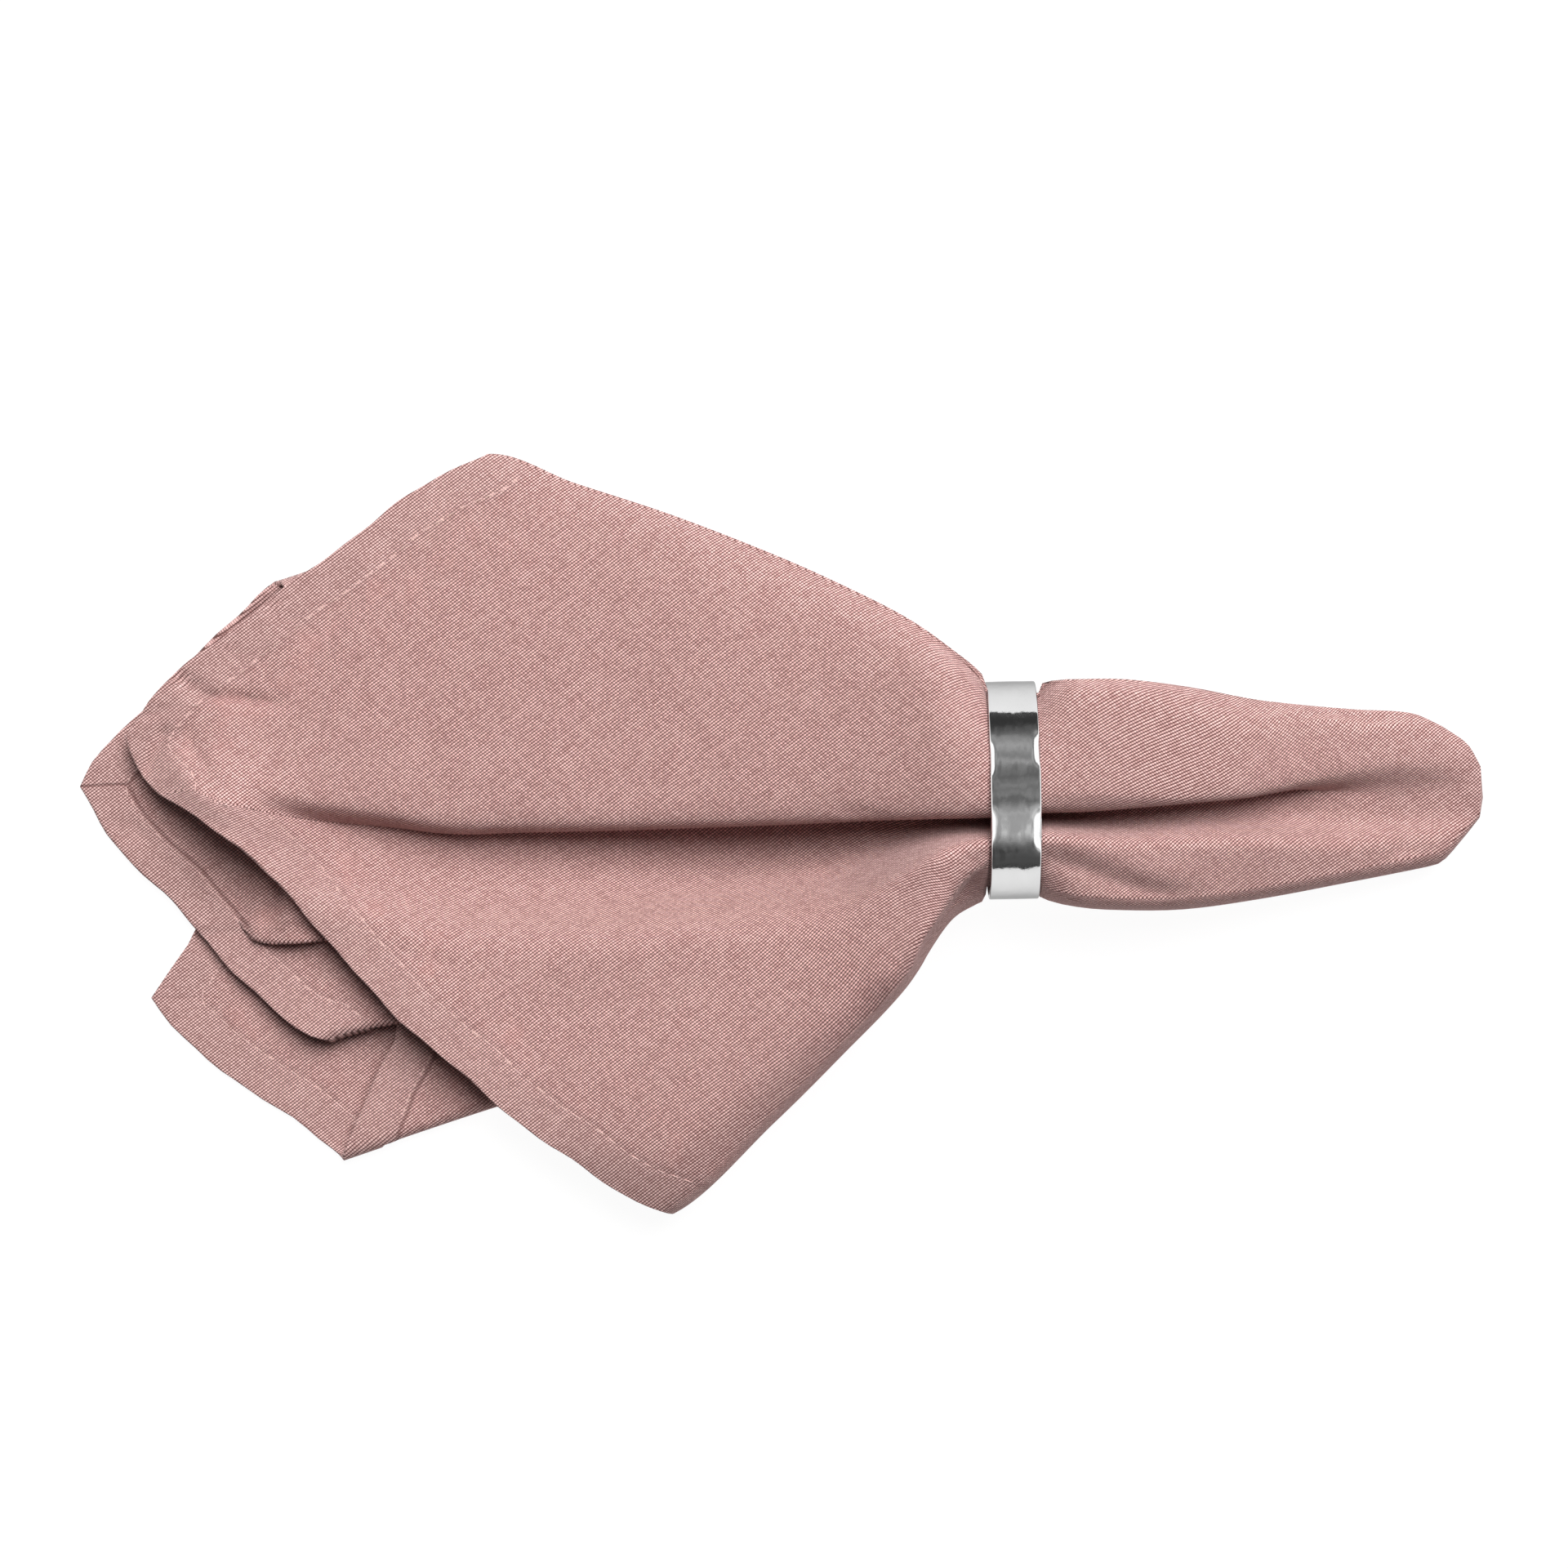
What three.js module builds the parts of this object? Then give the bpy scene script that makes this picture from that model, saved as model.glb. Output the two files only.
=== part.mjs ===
// Square cloth napkin picked up at its centre and drawn through a metal ring, lying on a table.
// Millimetres, +Z up. X runs along the ring's axis, from the fanned hem (-X) to the napkin's centre (+X).
import * as THREE from "three";

// Ring: a flat polished band, standing on edge around the gathered cloth
const RING_OUTER_DIAMETER = 44;
const RING_BAND_WIDTH = 10;
const RING_WALL = 1;
const RING_EDGE_CHAMFER = 0.25;
const RING_SIDES = 64;
const RING_X = 46.6;
const RING_Y = 9;
const RING_TURN_DEG = 1.1;

// Cloth
const CLOTH_THICKNESS = 1;
const CLOTH_TO_RING_GAP = 0.45;
const FOLD_INSET = 1.1; // how far the two layers of a fold stay short of the fold line
const WIDEST_INSET_SHARE = 0.23; // and in a narrow layer at most this share of its width
const RIM_SHARE = 0.96; // the folded rims lie at this share of a section's half width
const FLAT_BAND = 0.3; // undersides lower than this lie flat on the table

// Section shape: the power of its rounded outline, where 2 is an ellipse and more is boxier
const NECK_POWER = 2;
const TOP_POWER = 3;
const UNDERSIDE_POWER = 6;
const NECK_FADE_LENGTH = 40; // how far from the ring the round neck has gone

// Inner folds draw back to the back rim by this share of the puffed end. A layer that gets narrower than
// LEVEL_WIDTH slopes more and more, until at STEEP_WIDTH it runs straight from fold to fold.
const INNER_FOLDS_END = 0.6;
const LEVEL_WIDTH = 16;
const STEEP_WIDTH = 8;

// Steps of the cloth grid along its length
const FAN_STEPS = 21;
const NECK_STEPS = 3;
const PUFF_STEPS = 13;

// Worked out from the sizes above
const HALF_CLOTH = CLOTH_THICKNESS / 2;
const RING_OUTER_RADIUS = RING_OUTER_DIAMETER / 2;
const RING_CENTRE_Z = RING_OUTER_RADIUS * Math.cos(Math.PI / RING_SIDES);
const NECK_RADIUS = RING_OUTER_RADIUS - RING_WALL - CLOTH_TO_RING_GAP - HALF_CLOTH;
const NECK_LEFT = RING_X - RING_BAND_WIDTH / 2 - 0.6;
const NECK_RIGHT = RING_X + RING_BAND_WIDTH / 2 + 0.6;
const NECK = {
  back: RING_Y + NECK_RADIUS * RIM_SHARE,
  front: RING_Y - NECK_RADIUS * RIM_SHARE,
  crown: RING_CENTRE_Z + NECK_RADIUS,
  rim: RING_CENTRE_Z,
  floor: RING_CENTRE_Z - NECK_RADIUS,
};

// The middle of the napkin, where the puffed end closes
const TIP_X = 143.4;
const TIP_Y = 7.5;
const TIP_Z = 6;

// Cross sections: the back (+Y) and front (-Y) rims of the bundle, the height of its crown and of its
// rims, and the height of the lowest layer's middle
const SECTIONS = [
  { x: -146, back: 24, front: -16, crown: 4.2, rim: 1.6, floor: HALF_CLOTH },
  { x: -134, back: 36, front: -44, crown: 7.5, rim: 2.2, floor: HALF_CLOTH },
  { x: -115, back: 50, front: -62, crown: 11, rim: 3, floor: HALF_CLOTH },
  { x: -90, back: 67, front: -74, crown: 13, rim: 3.5, floor: HALF_CLOTH },
  { x: -60, back: 77.2, front: -78.5, crown: 15, rim: 4, floor: HALF_CLOTH },
  { x: -42, back: 71.2, front: -79, crown: 17, rim: 4.5, floor: HALF_CLOTH },
  { x: -22, back: 64.5, front: -77.2, crown: 20.5, rim: 5, floor: HALF_CLOTH },
  { x: -1, back: 56.2, front: -58, crown: 25, rim: 6.5, floor: HALF_CLOTH },
  { x: 12.5, back: 50, front: -44.4, crown: 30, rim: 9, floor: HALF_CLOTH },
  { x: 25, back: 43.4, front: -31, crown: 36, rim: 13.5, floor: 0.7 },
  { x: 34, back: 36.8, front: -17.6, crown: 41, rim: 18.5, floor: 1.3 },
  { x: NECK_LEFT, ...NECK },
  { x: NECK_RIGHT, ...NECK },
  { x: 60, back: 30.6, front: -14, crown: 41.2, rim: 18, floor: 1.1 },
  { x: 69, back: 30.8, front: -15, crown: 38.5, rim: 13, floor: 0.6 },
  { x: 82, back: 29.4, front: -14.9, crown: 33, rim: 9.5, floor: HALF_CLOTH },
  { x: 98, back: 26.7, front: -12.8, crown: 26.5, rim: 8, floor: HALF_CLOTH },
  { x: 116, back: 25.1, front: -9.5, crown: 20, rim: 7, floor: HALF_CLOTH },
  { x: 128, back: 24, front: -6.8, crown: 16.5, rim: 6.5, floor: HALF_CLOTH },
  { x: 135, back: 21.2, front: -4.6, crown: 14, rim: 6.2, floor: HALF_CLOTH },
  { x: 140, back: 17.6, front: -0.6, crown: 11.5, rim: 6, floor: 0.8 },
  { x: 142.6, back: 12.5, front: 3.4, crown: 8.6, rim: 6, floor: 3 },
];

// Fold lines from the neck to the hem. acrossNeck and acrossTip place the line in the neck and at the
// puffed end, from -1 (front) to 1 (back). rank is its height in the stack, from 0 (table) to 1 (top).
// The back and front rims follow the sections, up to their corner at the hem.
const FOLDS = {
  frontRim: { acrossNeck: -RIM_SHARE, acrossTip: -RIM_SHARE, rank: 0.5, corner: [-22, -77.2] },
  valley: {
    acrossNeck: -0.2,
    acrossTip: 0.1,
    rank: 1,
    fan: [[18, 5.5], [-10, 5], [-54, 4.5], [-91, 7]],
    corner: [-126.5, 7],
  },
  backRim: { acrossNeck: RIM_SHARE, acrossTip: RIM_SHARE, rank: 0.81, corner: [-60, 77.2] },
  secondFront: {
    acrossNeck: -0.7,
    acrossTip: 0.93,
    rank: 0.55,
    fan: [[32, -7], [18, -17], [-35, -33]],
    corner: [-93, -41.8],
  },
  thirdBack: {
    acrossNeck: 0.62,
    acrossTip: 0.95,
    rank: 0.41,
    fan: [[30, 24], [-5, 36], [-55, 46]],
    corner: [-104, 41],
  },
  flapFront: {
    acrossNeck: -0.74,
    acrossTip: 0.93,
    rank: 0.26,
    fan: [[32, -9], [19, -23], [-25, -46], [-57, -55.2]],
    corner: [-90, -66.3],
  },
  lowBack: {
    acrossNeck: 0.84,
    acrossTip: 0.95,
    rank: 0.09,
    fan: [[30, 31], [-5, 48], [-50, 58]],
    corner: [-104, 44],
  },
};

// The layers of the one cloth, in order round the bundle. Each runs between two fold lines at its rank in
// the stack, with a number of grid points that crowd towards its first fold line if crowd is over 1, and
// ends in a hem through the places given, with the napkin's corner at one of the grid points.
const LAYERS = [
  {
    name: "front lobe",
    from: "frontRim",
    to: "valley",
    rank: 1,
    points: 9,
    crowd: 1,
    hem: [[-35, -71], [-57, -55], [-83, -32], [-101, -12], [-115, 1.5]],
  },
  {
    name: "back lobe",
    from: "valley",
    to: "backRim",
    rank: 1,
    points: 10,
    crowd: 1.7,
    hem: [[-131.5, 13]],
    cornerPoint: 4,
    corner: [-134, 20],
    hemPastCorner: [[-124, 32.3], [-98.5, 52], [-72, 71.5]],
  },
  {
    name: "second layer",
    from: "backRim",
    to: "secondFront",
    rank: 0.62,
    points: 11,
    crowd: 1,
    hem: [[-80, 64], [-103, 51], [-124, 32]],
    cornerPoint: 6,
    corner: [-144, 9.7],
    hemPastCorner: [[-137.5, -1], [-126, -13], [-112, -28], [-101.5, -37.8]],
  },
  {
    name: "third layer",
    from: "secondFront",
    to: "thirdBack",
    rank: 0.48,
    points: 6,
    crowd: 1,
    hem: [[-114, 0]],
  },
  {
    name: "flap",
    from: "thirdBack",
    to: "flapFront",
    rank: 0.34,
    points: 7,
    crowd: 1,
    hem: [[-102, 8], [-84, -22], [-78.5, -39], [-85.5, -55.5]],
  },
  {
    name: "low layer",
    from: "flapFront",
    to: "lowBack",
    rank: 0.18,
    points: 8,
    crowd: 1,
    hem: [[-112.5, -50]],
    cornerPoint: 3,
    corner: [-129.4, -33.7],
    hemPastCorner: [[-120.5, -20], [-110, 6]],
  },
  {
    name: "table layer",
    from: "lowBack",
    to: "frontRim",
    rank: 0,
    points: 8,
    crowd: 1,
    hem: [],
    cornerPoint: 2,
    corner: [-112, 14],
    hemPastCorner: [[-88, -14], [-56, -45]],
  },
];

// The valley between the two top lobes: how deep it is at the neck, how fast each bank rises from it, how
// far the back lobe rolls over it and how wide that roll is, and how it fades over the fan and the puffed end
const VALLEY_DEPTH = 8;
const VALLEY_BACK_BANK = 3.2;
const VALLEY_FRONT_BANK = 9;
const VALLEY_OVERHANG = 4.5;
const VALLEY_ROLL_WIDTH = 24;
const VALLEY_FAN_FADE = 1.1;
const VALLEY_PUFF_END = 0.85;

// Soft ridge across the front lobe, from the neck outward
const RIDGE_HEIGHT = 2.4;
const RIDGE_HALF_WIDTH = 6;
const RIDGE_LINE = [
  { x: -66, y: -26, share: 0 },
  { x: -35, y: -22, share: 0.5 },
  { x: -1, y: -10.5, share: 1 },
  { x: 30, y: -2, share: 1 },
  { x: NECK_LEFT, y: 1, share: 0 },
];

// The top layer's front hem sinks towards the flap below it
const HEM_SINK = 3;

const clothMaterial = new THREE.MeshStandardMaterial({ color: 0xc39c97, roughness: 0.92, metalness: 0 });
clothMaterial.name = "dusty rose cotton";
const ringMaterial = new THREE.MeshStandardMaterial({ color: 0xd8d8d8, roughness: 0.12, metalness: 1 });
ringMaterial.name = "polished steel";

const { clamp, lerp, smoothstep } = THREE.MathUtils;

// Smooth value of one column of a table at x, by cubic steps between its rows
function columnAt(rows, column, x) {
  const last = rows.length - 1;
  if (x <= rows[0].x) return rows[0][column];
  if (x >= rows[last].x) return rows[last][column];
  const i = rows.findIndex((row) => row.x > x) - 1;
  const slope = (a, b) => (rows[b][column] - rows[a][column]) / (rows[b].x - rows[a].x);
  const run = rows[i + 1].x - rows[i].x;
  const t = (x - rows[i].x) / run;
  const leaving = slope(Math.max(i - 1, 0), i + 1) * run;
  const arriving = slope(i, Math.min(i + 2, last)) * run;
  const start = rows[i][column];
  const end = rows[i + 1][column];
  const rise = end - start;
  const square = 3 * rise - 2 * leaving - arriving;
  const cube = leaving + arriving - 2 * rise;
  return start + t * (leaving + t * (square + t * cube));
}

// Rounded half height of a section at a share across it
function roundness(across, power) {
  const inside = Math.max(0, 1 - Math.abs(across) ** power);
  return inside ** (1 / power);
}

// How much of the round neck is left at x: 1 in the ring, 0 well away from it
function neckness(x) {
  const away = Math.max(NECK_LEFT - x, x - NECK_RIGHT, 0);
  return 1 - smoothstep(away, 0, NECK_FADE_LENGTH);
}

// The y of a share across the bundle at x
function acrossToY(x, across) {
  const back = columnAt(SECTIONS, "back", x);
  const front = columnAt(SECTIONS, "front", x);
  return (back + front) / 2 + (across / RIM_SHARE) * (back - front) / 2;
}

// The height of a rank in the stack over a place on the table
function stackHeight(x, y, rank) {
  const back = columnAt(SECTIONS, "back", x);
  const front = columnAt(SECTIONS, "front", x);
  const rim = columnAt(SECTIONS, "rim", x);
  const across = clamp((y - (back + front) / 2) / ((back - front) / 2) * RIM_SHARE, -1, 1);
  const round = neckness(x);
  const above = columnAt(SECTIONS, "crown", x) - rim;
  const below = rim - columnAt(SECTIONS, "floor", x);
  const high = rim + above * roundness(across, lerp(TOP_POWER, NECK_POWER, round));
  const low = rim - below * roundness(across, lerp(UNDERSIDE_POWER, NECK_POWER, round));
  return lerp(low, high, rank);
}

// A fold line over the fan, from the neck (share 0) to its corner at the hem (share 1)
function foldInFan(fold, share) {
  if (!fold.fan) {
    const x = lerp(NECK_LEFT, fold.corner[0], share);
    return new THREE.Vector2(x, acrossToY(x, fold.acrossNeck));
  }
  const start = [NECK_LEFT, acrossToY(NECK_LEFT, fold.acrossNeck)];
  const places = [start, ...fold.fan, fold.corner].map(([x, y]) => new THREE.Vector2(x, y));
  return new THREE.SplineCurve(places).getPointAt(share);
}

// The y of a fold line in the neck and the puffed end, where the inner folds draw back to the back rim
function foldInPuff(fold, x) {
  const along = clamp((x - NECK_RIGHT) / (TIP_X - NECK_RIGHT), 0, 1);
  return acrossToY(x, lerp(fold.acrossNeck, fold.acrossTip, smoothstep(along, 0, INNER_FOLDS_END)));
}

// Shares across a layer of its grid points: close to both folds, crowded towards the first if asked
function sharesAcross(layer, width) {
  const inset = Math.min(FOLD_INSET / Math.max(width, 1e-6), WIDEST_INSET_SHARE);
  const steps = layer.points - 1;
  return Array.from({ length: layer.points }, (_, i) => lerp(inset, 1 - inset, (i / steps) ** layer.crowd));
}

// Where each grid point of a layer meets the hem, with one of them at the napkin's corner
function hemPlaces(layer) {
  const start = FOLDS[layer.from].corner;
  const end = FOLDS[layer.to].corner;
  const curve = (places) => new THREE.SplineCurve(places.map(([x, y]) => new THREE.Vector2(x, y)));
  if (!layer.corner) {
    const whole = curve([start, ...layer.hem, end]);
    return sharesAcross(layer, whole.getLength()).map((share) => whole.getPointAt(share));
  }
  const before = curve([start, ...layer.hem, layer.corner]);
  const after = curve([layer.corner, ...layer.hemPastCorner, end]);
  const shares = sharesAcross(layer, before.getLength() + after.getLength());
  const turn = shares[layer.cornerPoint];
  return shares.map((share) => {
    return share <= turn ? before.getPointAt(share / turn) : after.getPointAt((share - turn) / (1 - turn));
  });
}

const HEM_PLACES = LAYERS.map(hemPlaces);

// The back lobe's bank at a distance from the valley line: its rise, and how far it rolls over the valley
function backBank(away, strength) {
  const height = 1 - Math.exp(-((away / VALLEY_BACK_BANK) ** 1.5));
  const fade = Math.exp(-((away / VALLEY_ROLL_WIDTH) ** 2));
  const roll = VALLEY_OVERHANG * strength * smoothstep(height, 0.2, 0.75) * fade;
  return { rise: (height - 1) * VALLEY_DEPTH * strength, roll };
}

// The front lobe's bank, with the soft ridge across it
function frontBank(place, away, strength) {
  const bank = -VALLEY_DEPTH * strength * Math.exp(-((away / VALLEY_FRONT_BANK) ** 1.5));
  const fromRidge = (place.y - columnAt(RIDGE_LINE, "y", place.x)) / RIDGE_HALF_WIDTH;
  const ridge = RIDGE_HEIGHT * columnAt(RIDGE_LINE, "share", place.x) * Math.exp(-(fromRidge ** 2));
  return bank + ridge;
}

// A point of a layer's middle surface over its place on the table
function layerPoint(layer, place, w, shape) {
  const point = new THREE.Vector3(place.x, place.y, stackHeight(place.x, place.y, layer.rank));
  const away = Math.abs(place.y - shape.valleyY);
  if (layer.name === "back lobe") {
    const { rise, roll } = backBank(away, shape.strength);
    point.z += rise;
    point.y -= roll;
  }
  if (layer.name === "front lobe") point.z += frontBank(place, away, shape.strength) - shape.sink * (1 - w);
  return point;
}

// How level a layer lies: 1 over its rank in the stack, 0 straight from fold to fold where it is narrow
function levelness(layer, width) {
  const isOuter = layer.rank === 1 || layer.rank === 0;
  return isOuter ? 1 : smoothstep(width, STEEP_WIDTH, LEVEL_WIDTH);
}

// One loop of the cloth's middle surface. foldPlaces are where the layers' fold lines are on the table,
// and placeAcross gives the place of a layer's grid point at a share of the way between two of them.
function clothLoop(foldPlaces, placeAcross, shape) {
  const count = LAYERS.length;
  const widths = foldPlaces.map((place, i) => place.distanceTo(foldPlaces[(i + 1) % count]));
  const levels = LAYERS.map((layer, i) => levelness(layer, widths[i]));
  const folds = LAYERS.map((layer, i) => {
    const { x, y } = foldPlaces[i];
    return new THREE.Vector3(x, y, stackHeight(x, y, FOLDS[layer.from].rank));
  });
  const runs = LAYERS.map((layer, i) => sharesAcross(layer, widths[i]).map((w, point) => {
    const straight = folds[i].clone().lerp(folds[(i + 1) % count], w);
    return straight.lerp(layerPoint(layer, placeAcross(i, point, w), w, shape), levels[i]);
  }));
  return runs.flatMap((run, i) => {
    const before = (i + count - 1) % count;
    const halfway = (runs[before][runs[before].length - 1].z + run[0].z) / 2;
    if (LAYERS[i].from === "valley") folds[i].z -= VALLEY_DEPTH * shape.strength;
    else folds[i].z = lerp(folds[i].z, halfway, Math.min(levels[before], levels[i]));
    return [folds[i], ...run];
  });
}

// One loop over the fan, at a share of the way from the neck to the hem
function fanLoop(share) {
  const foldPlaces = LAYERS.map((layer) => foldInFan(FOLDS[layer.from], share));
  const corners = LAYERS.map((layer) => new THREE.Vector2(...FOLDS[layer.from].corner));
  const placeAcross = (i, point, w) => {
    const next = (i + 1) % LAYERS.length;
    const reach = HEM_PLACES[i][point].clone().sub(corners[i].clone().lerp(corners[next], w));
    return foldPlaces[i].clone().lerp(foldPlaces[next], w).addScaledVector(reach, share);
  };
  const valleyY = foldInFan(FOLDS.valley, share).y;
  const shape = { valleyY, strength: (1 - share) ** VALLEY_FAN_FADE, sink: HEM_SINK * share ** 4 };
  return clothLoop(foldPlaces, placeAcross, shape);
}

// One loop in the neck or the puffed end
function puffLoop(x) {
  const foldPlaces = LAYERS.map((layer) => new THREE.Vector2(x, foldInPuff(FOLDS[layer.from], x)));
  const placeAcross = (i, point, w) => foldPlaces[i].clone().lerp(foldPlaces[(i + 1) % LAYERS.length], w);
  const along = clamp((x - NECK_RIGHT) / (TIP_X - NECK_RIGHT), 0, 1);
  const valleyY = foldInPuff(FOLDS.valley, x);
  const shape = { valleyY, strength: 1 - smoothstep(along, 0.1, VALLEY_PUFF_END), sink: 0 };
  return clothLoop(foldPlaces, placeAcross, shape);
}

// The loops of the whole cloth, from the hem to the puffed end
function clothLoops() {
  const loops = [];
  for (let i = FAN_STEPS; i > 0; i -= 1) loops.push(fanLoop((i / FAN_STEPS) ** 1.1));
  for (let i = 0; i < NECK_STEPS; i += 1) loops.push(puffLoop(lerp(NECK_LEFT, NECK_RIGHT, i / NECK_STEPS)));
  const lastX = SECTIONS[SECTIONS.length - 1].x;
  for (let i = 0; i <= PUFF_STEPS; i += 1) {
    loops.push(puffLoop(lerp(NECK_RIGHT, lastX, Math.sin((Math.PI / 2) * (i / PUFF_STEPS)) ** 1.1)));
  }
  return loops;
}

// Closed solid of the cloth: both faces of the sheet, a pole at the puffed end and a rim along the hem
function clothGeometry() {
  const loops = clothLoops();
  const around = loops[0].length;
  const middle = loops.flat();
  const pole = middle.length;
  middle.push(new THREE.Vector3(TIP_X, TIP_Y, TIP_Z));
  const faces = [];
  for (let row = 0; row < loops.length - 1; row += 1) {
    for (let i = 0; i < around; i += 1) {
      const next = (i + 1) % around;
      const a = row * around + i;
      const b = row * around + next;
      const c = (row + 1) * around + next;
      const d = (row + 1) * around + i;
      faces.push([a, b, c], [a, c, d]);
    }
  }
  const lastRow = (loops.length - 1) * around;
  for (let i = 0; i < around; i += 1) faces.push([lastRow + i, lastRow + ((i + 1) % around), pole]);

  const normals = middle.map(() => new THREE.Vector3());
  for (const [a, b, c] of faces) {
    const side = middle[b].clone().sub(middle[a]).cross(middle[c].clone().sub(middle[a]));
    for (const corner of [a, b, c]) normals[corner].add(side);
  }
  normals.forEach((normal) => normal.normalize());
  const lift = (sign) => middle.map((place, i) => {
    const moved = place.clone().addScaledVector(normals[i], sign * HALF_CLOTH);
    if (moved.z < FLAT_BAND) moved.z = 0;
    return moved;
  });
  const vertices = [...lift(1), ...lift(-1)];
  const inner = middle.length;
  const triangles = [];
  for (const [a, b, c] of faces) triangles.push(a, b, c, inner + a, inner + c, inner + b);
  for (let i = 0; i < around; i += 1) {
    const next = (i + 1) % around;
    triangles.push(i, inner + i, inner + next, i, inner + next, next);
  }
  const geometry = new THREE.BufferGeometry();
  const numbers = vertices.flatMap((vertex) => vertex.toArray());
  geometry.setAttribute("position", new THREE.Float32BufferAttribute(numbers, 3));
  geometry.setIndex(triangles);
  geometry.computeVertexNormals();
  return geometry;
}

// The ring: a band profile with chamfered edges turned about its axis, a flat facet down
function ringGeometry() {
  const half = RING_BAND_WIDTH / 2;
  const outer = RING_OUTER_RADIUS;
  const inner = RING_OUTER_RADIUS - RING_WALL;
  const edge = RING_EDGE_CHAMFER;
  const profile = [
    [inner, -half + edge],
    [inner + edge, -half],
    [outer - edge, -half],
    [outer, -half + edge],
    [outer, half - edge],
    [outer - edge, half],
    [inner + edge, half],
    [inner, half - edge],
    [inner, -half + edge],
  ].map(([radius, along]) => new THREE.Vector2(radius, along));
  const geometry = new THREE.LatheGeometry(profile, RING_SIDES, Math.PI / RING_SIDES);
  return geometry.rotateZ(-Math.PI / 2);
}

const napkin = new THREE.Mesh(clothGeometry(), clothMaterial);
napkin.name = "napkin";
const ring = new THREE.Mesh(ringGeometry(), ringMaterial);
ring.name = "ring";
ring.position.set(RING_X, RING_Y, RING_CENTRE_Z);
ring.rotation.z = THREE.MathUtils.degToRad(RING_TURN_DEG);

// The origin is the middle of the part's box, on the table
const part = new THREE.Group();
part.add(napkin, ring);
const box = new THREE.Box3().setFromObject(part, true);
const middle = box.getCenter(new THREE.Vector3());
part.position.set(-middle.x, -middle.y, -box.min.z);

export default part;
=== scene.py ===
"""Cotton napkin drawn through a polished ring: the cloth, its hem stitches, the ring and the studio."""

import math

import bpy
import numpy as np
from bpy.props import FloatProperty, FloatVectorProperty, IntProperty, PointerProperty
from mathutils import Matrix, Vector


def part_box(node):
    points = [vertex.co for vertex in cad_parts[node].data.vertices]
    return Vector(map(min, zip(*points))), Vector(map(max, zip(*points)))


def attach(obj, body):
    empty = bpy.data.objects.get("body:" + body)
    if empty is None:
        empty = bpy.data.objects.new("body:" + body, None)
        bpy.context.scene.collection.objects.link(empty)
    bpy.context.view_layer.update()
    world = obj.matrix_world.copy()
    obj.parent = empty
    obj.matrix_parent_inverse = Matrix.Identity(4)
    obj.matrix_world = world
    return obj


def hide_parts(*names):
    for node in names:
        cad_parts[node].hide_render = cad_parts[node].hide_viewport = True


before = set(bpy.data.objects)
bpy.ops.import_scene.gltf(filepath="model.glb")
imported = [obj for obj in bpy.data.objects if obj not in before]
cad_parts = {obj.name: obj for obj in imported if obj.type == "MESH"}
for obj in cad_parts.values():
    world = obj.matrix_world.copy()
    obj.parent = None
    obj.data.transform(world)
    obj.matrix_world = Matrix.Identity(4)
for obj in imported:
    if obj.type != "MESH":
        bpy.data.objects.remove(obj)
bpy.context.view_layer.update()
RING_LOW, RING_HIGH = (np.array(corner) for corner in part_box("ring"))

bl_info = {
    "name": "Napkin in a Ring",
    "version": (1, 0, 0),
    "blender": (4, 5, 0),
    "location": "3D View > Sidebar > Napkin",
    "description": "Lays a gathered cotton napkin in its ring, sews its hem and sets the studio",
    "category": "Object",
}

# Lengths in the tables and in the cloth's shape are millimetres. Finished meshes and materials are in
# metres.
MM = 0.001

# A distance past which a hem no longer counts, and a length too small to divide by
FAR = 30.0
TINY = 1e-9

# Ring, which stands on one of the flat sides of its solid
RING_X = 46.6
RING_Y = 9.0
RING_TURN_DEG = 1.1
RING_OUTER_RADIUS = 22.0
RING_WALL = 1.0
RING_BAND_WIDTH = 10.0
RING_SOLID_SIDES = 64
CLOTH_TO_RING_GAP = 0.45

# Cloth: half the solid's thickness, where the rims lie across a section, the widest rounded fold as a share
# of its layer, the height of the lowest layer's middle and the place of the puffed end's tip
HALF_SOLID = 0.5
RIM_SHARE = 0.96
WIDEST_ROUND_SHARE = 0.23
TABLE_MIDDLE = 0.38
TIP = np.array([143.4, 7.5, 6.0])

# Roundness of a section: in the neck, on top of the fan at the back and at the front, underneath, and on
# top of the puffed end at the back. The puffed end slopes straight down at the front.
NECK_POWER = 2.0
TOP_POWER = 4.0
FRONT_POWER = 6.0
UNDERSIDE_POWER = 6.0
PUFF_POWER = 8.0
PUFF_SLOPE = 0.38

# How far the neck's roundness reaches into the fan and into the puffed end
NECK_FADE_LENGTH = 13.0
PUFF_FADE_LENGTH = 7.0

# Share of the puffed end at which its inner folds have drawn back to the back rim
INNER_FOLDS_END = 0.6

# Width up to which an inner layer runs straight from fold to fold, and from which it lies level
STEEP_WIDTH = 8.0
LEVEL_WIDTH = 16.0

# The x from which the weave of the top lobes starts to run on across their valley, and from which it does
JOINED_WEAVE = (58.0, 118.0)

# Grid: rows in the fan, the neck and the puffed end and how they crowd, and points round half a fold
FAN_ROWS = 100
FAN_CROWDING = 1.4
NECK_ROWS = 6
PUFF_ROWS = 42
PUFF_CROWDING = 1.1
EDGE_POINTS = 3

# The neck's reach past the band, and one extra row on each side of the ring, where the cloth bulges out of
# it: a share of the fan, and an x in the puffed end
NECK_MARGIN = 0.2
LEFT_BULGE = 0.004
RIGHT_BULGE = 52.6

# Close points between two places of a smooth line: of a hem or fold, of an edge in a layer and of a crease
LINE_STEPS = 24
EDGE_STEPS = 8
CREASE_STEPS = 6

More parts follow.
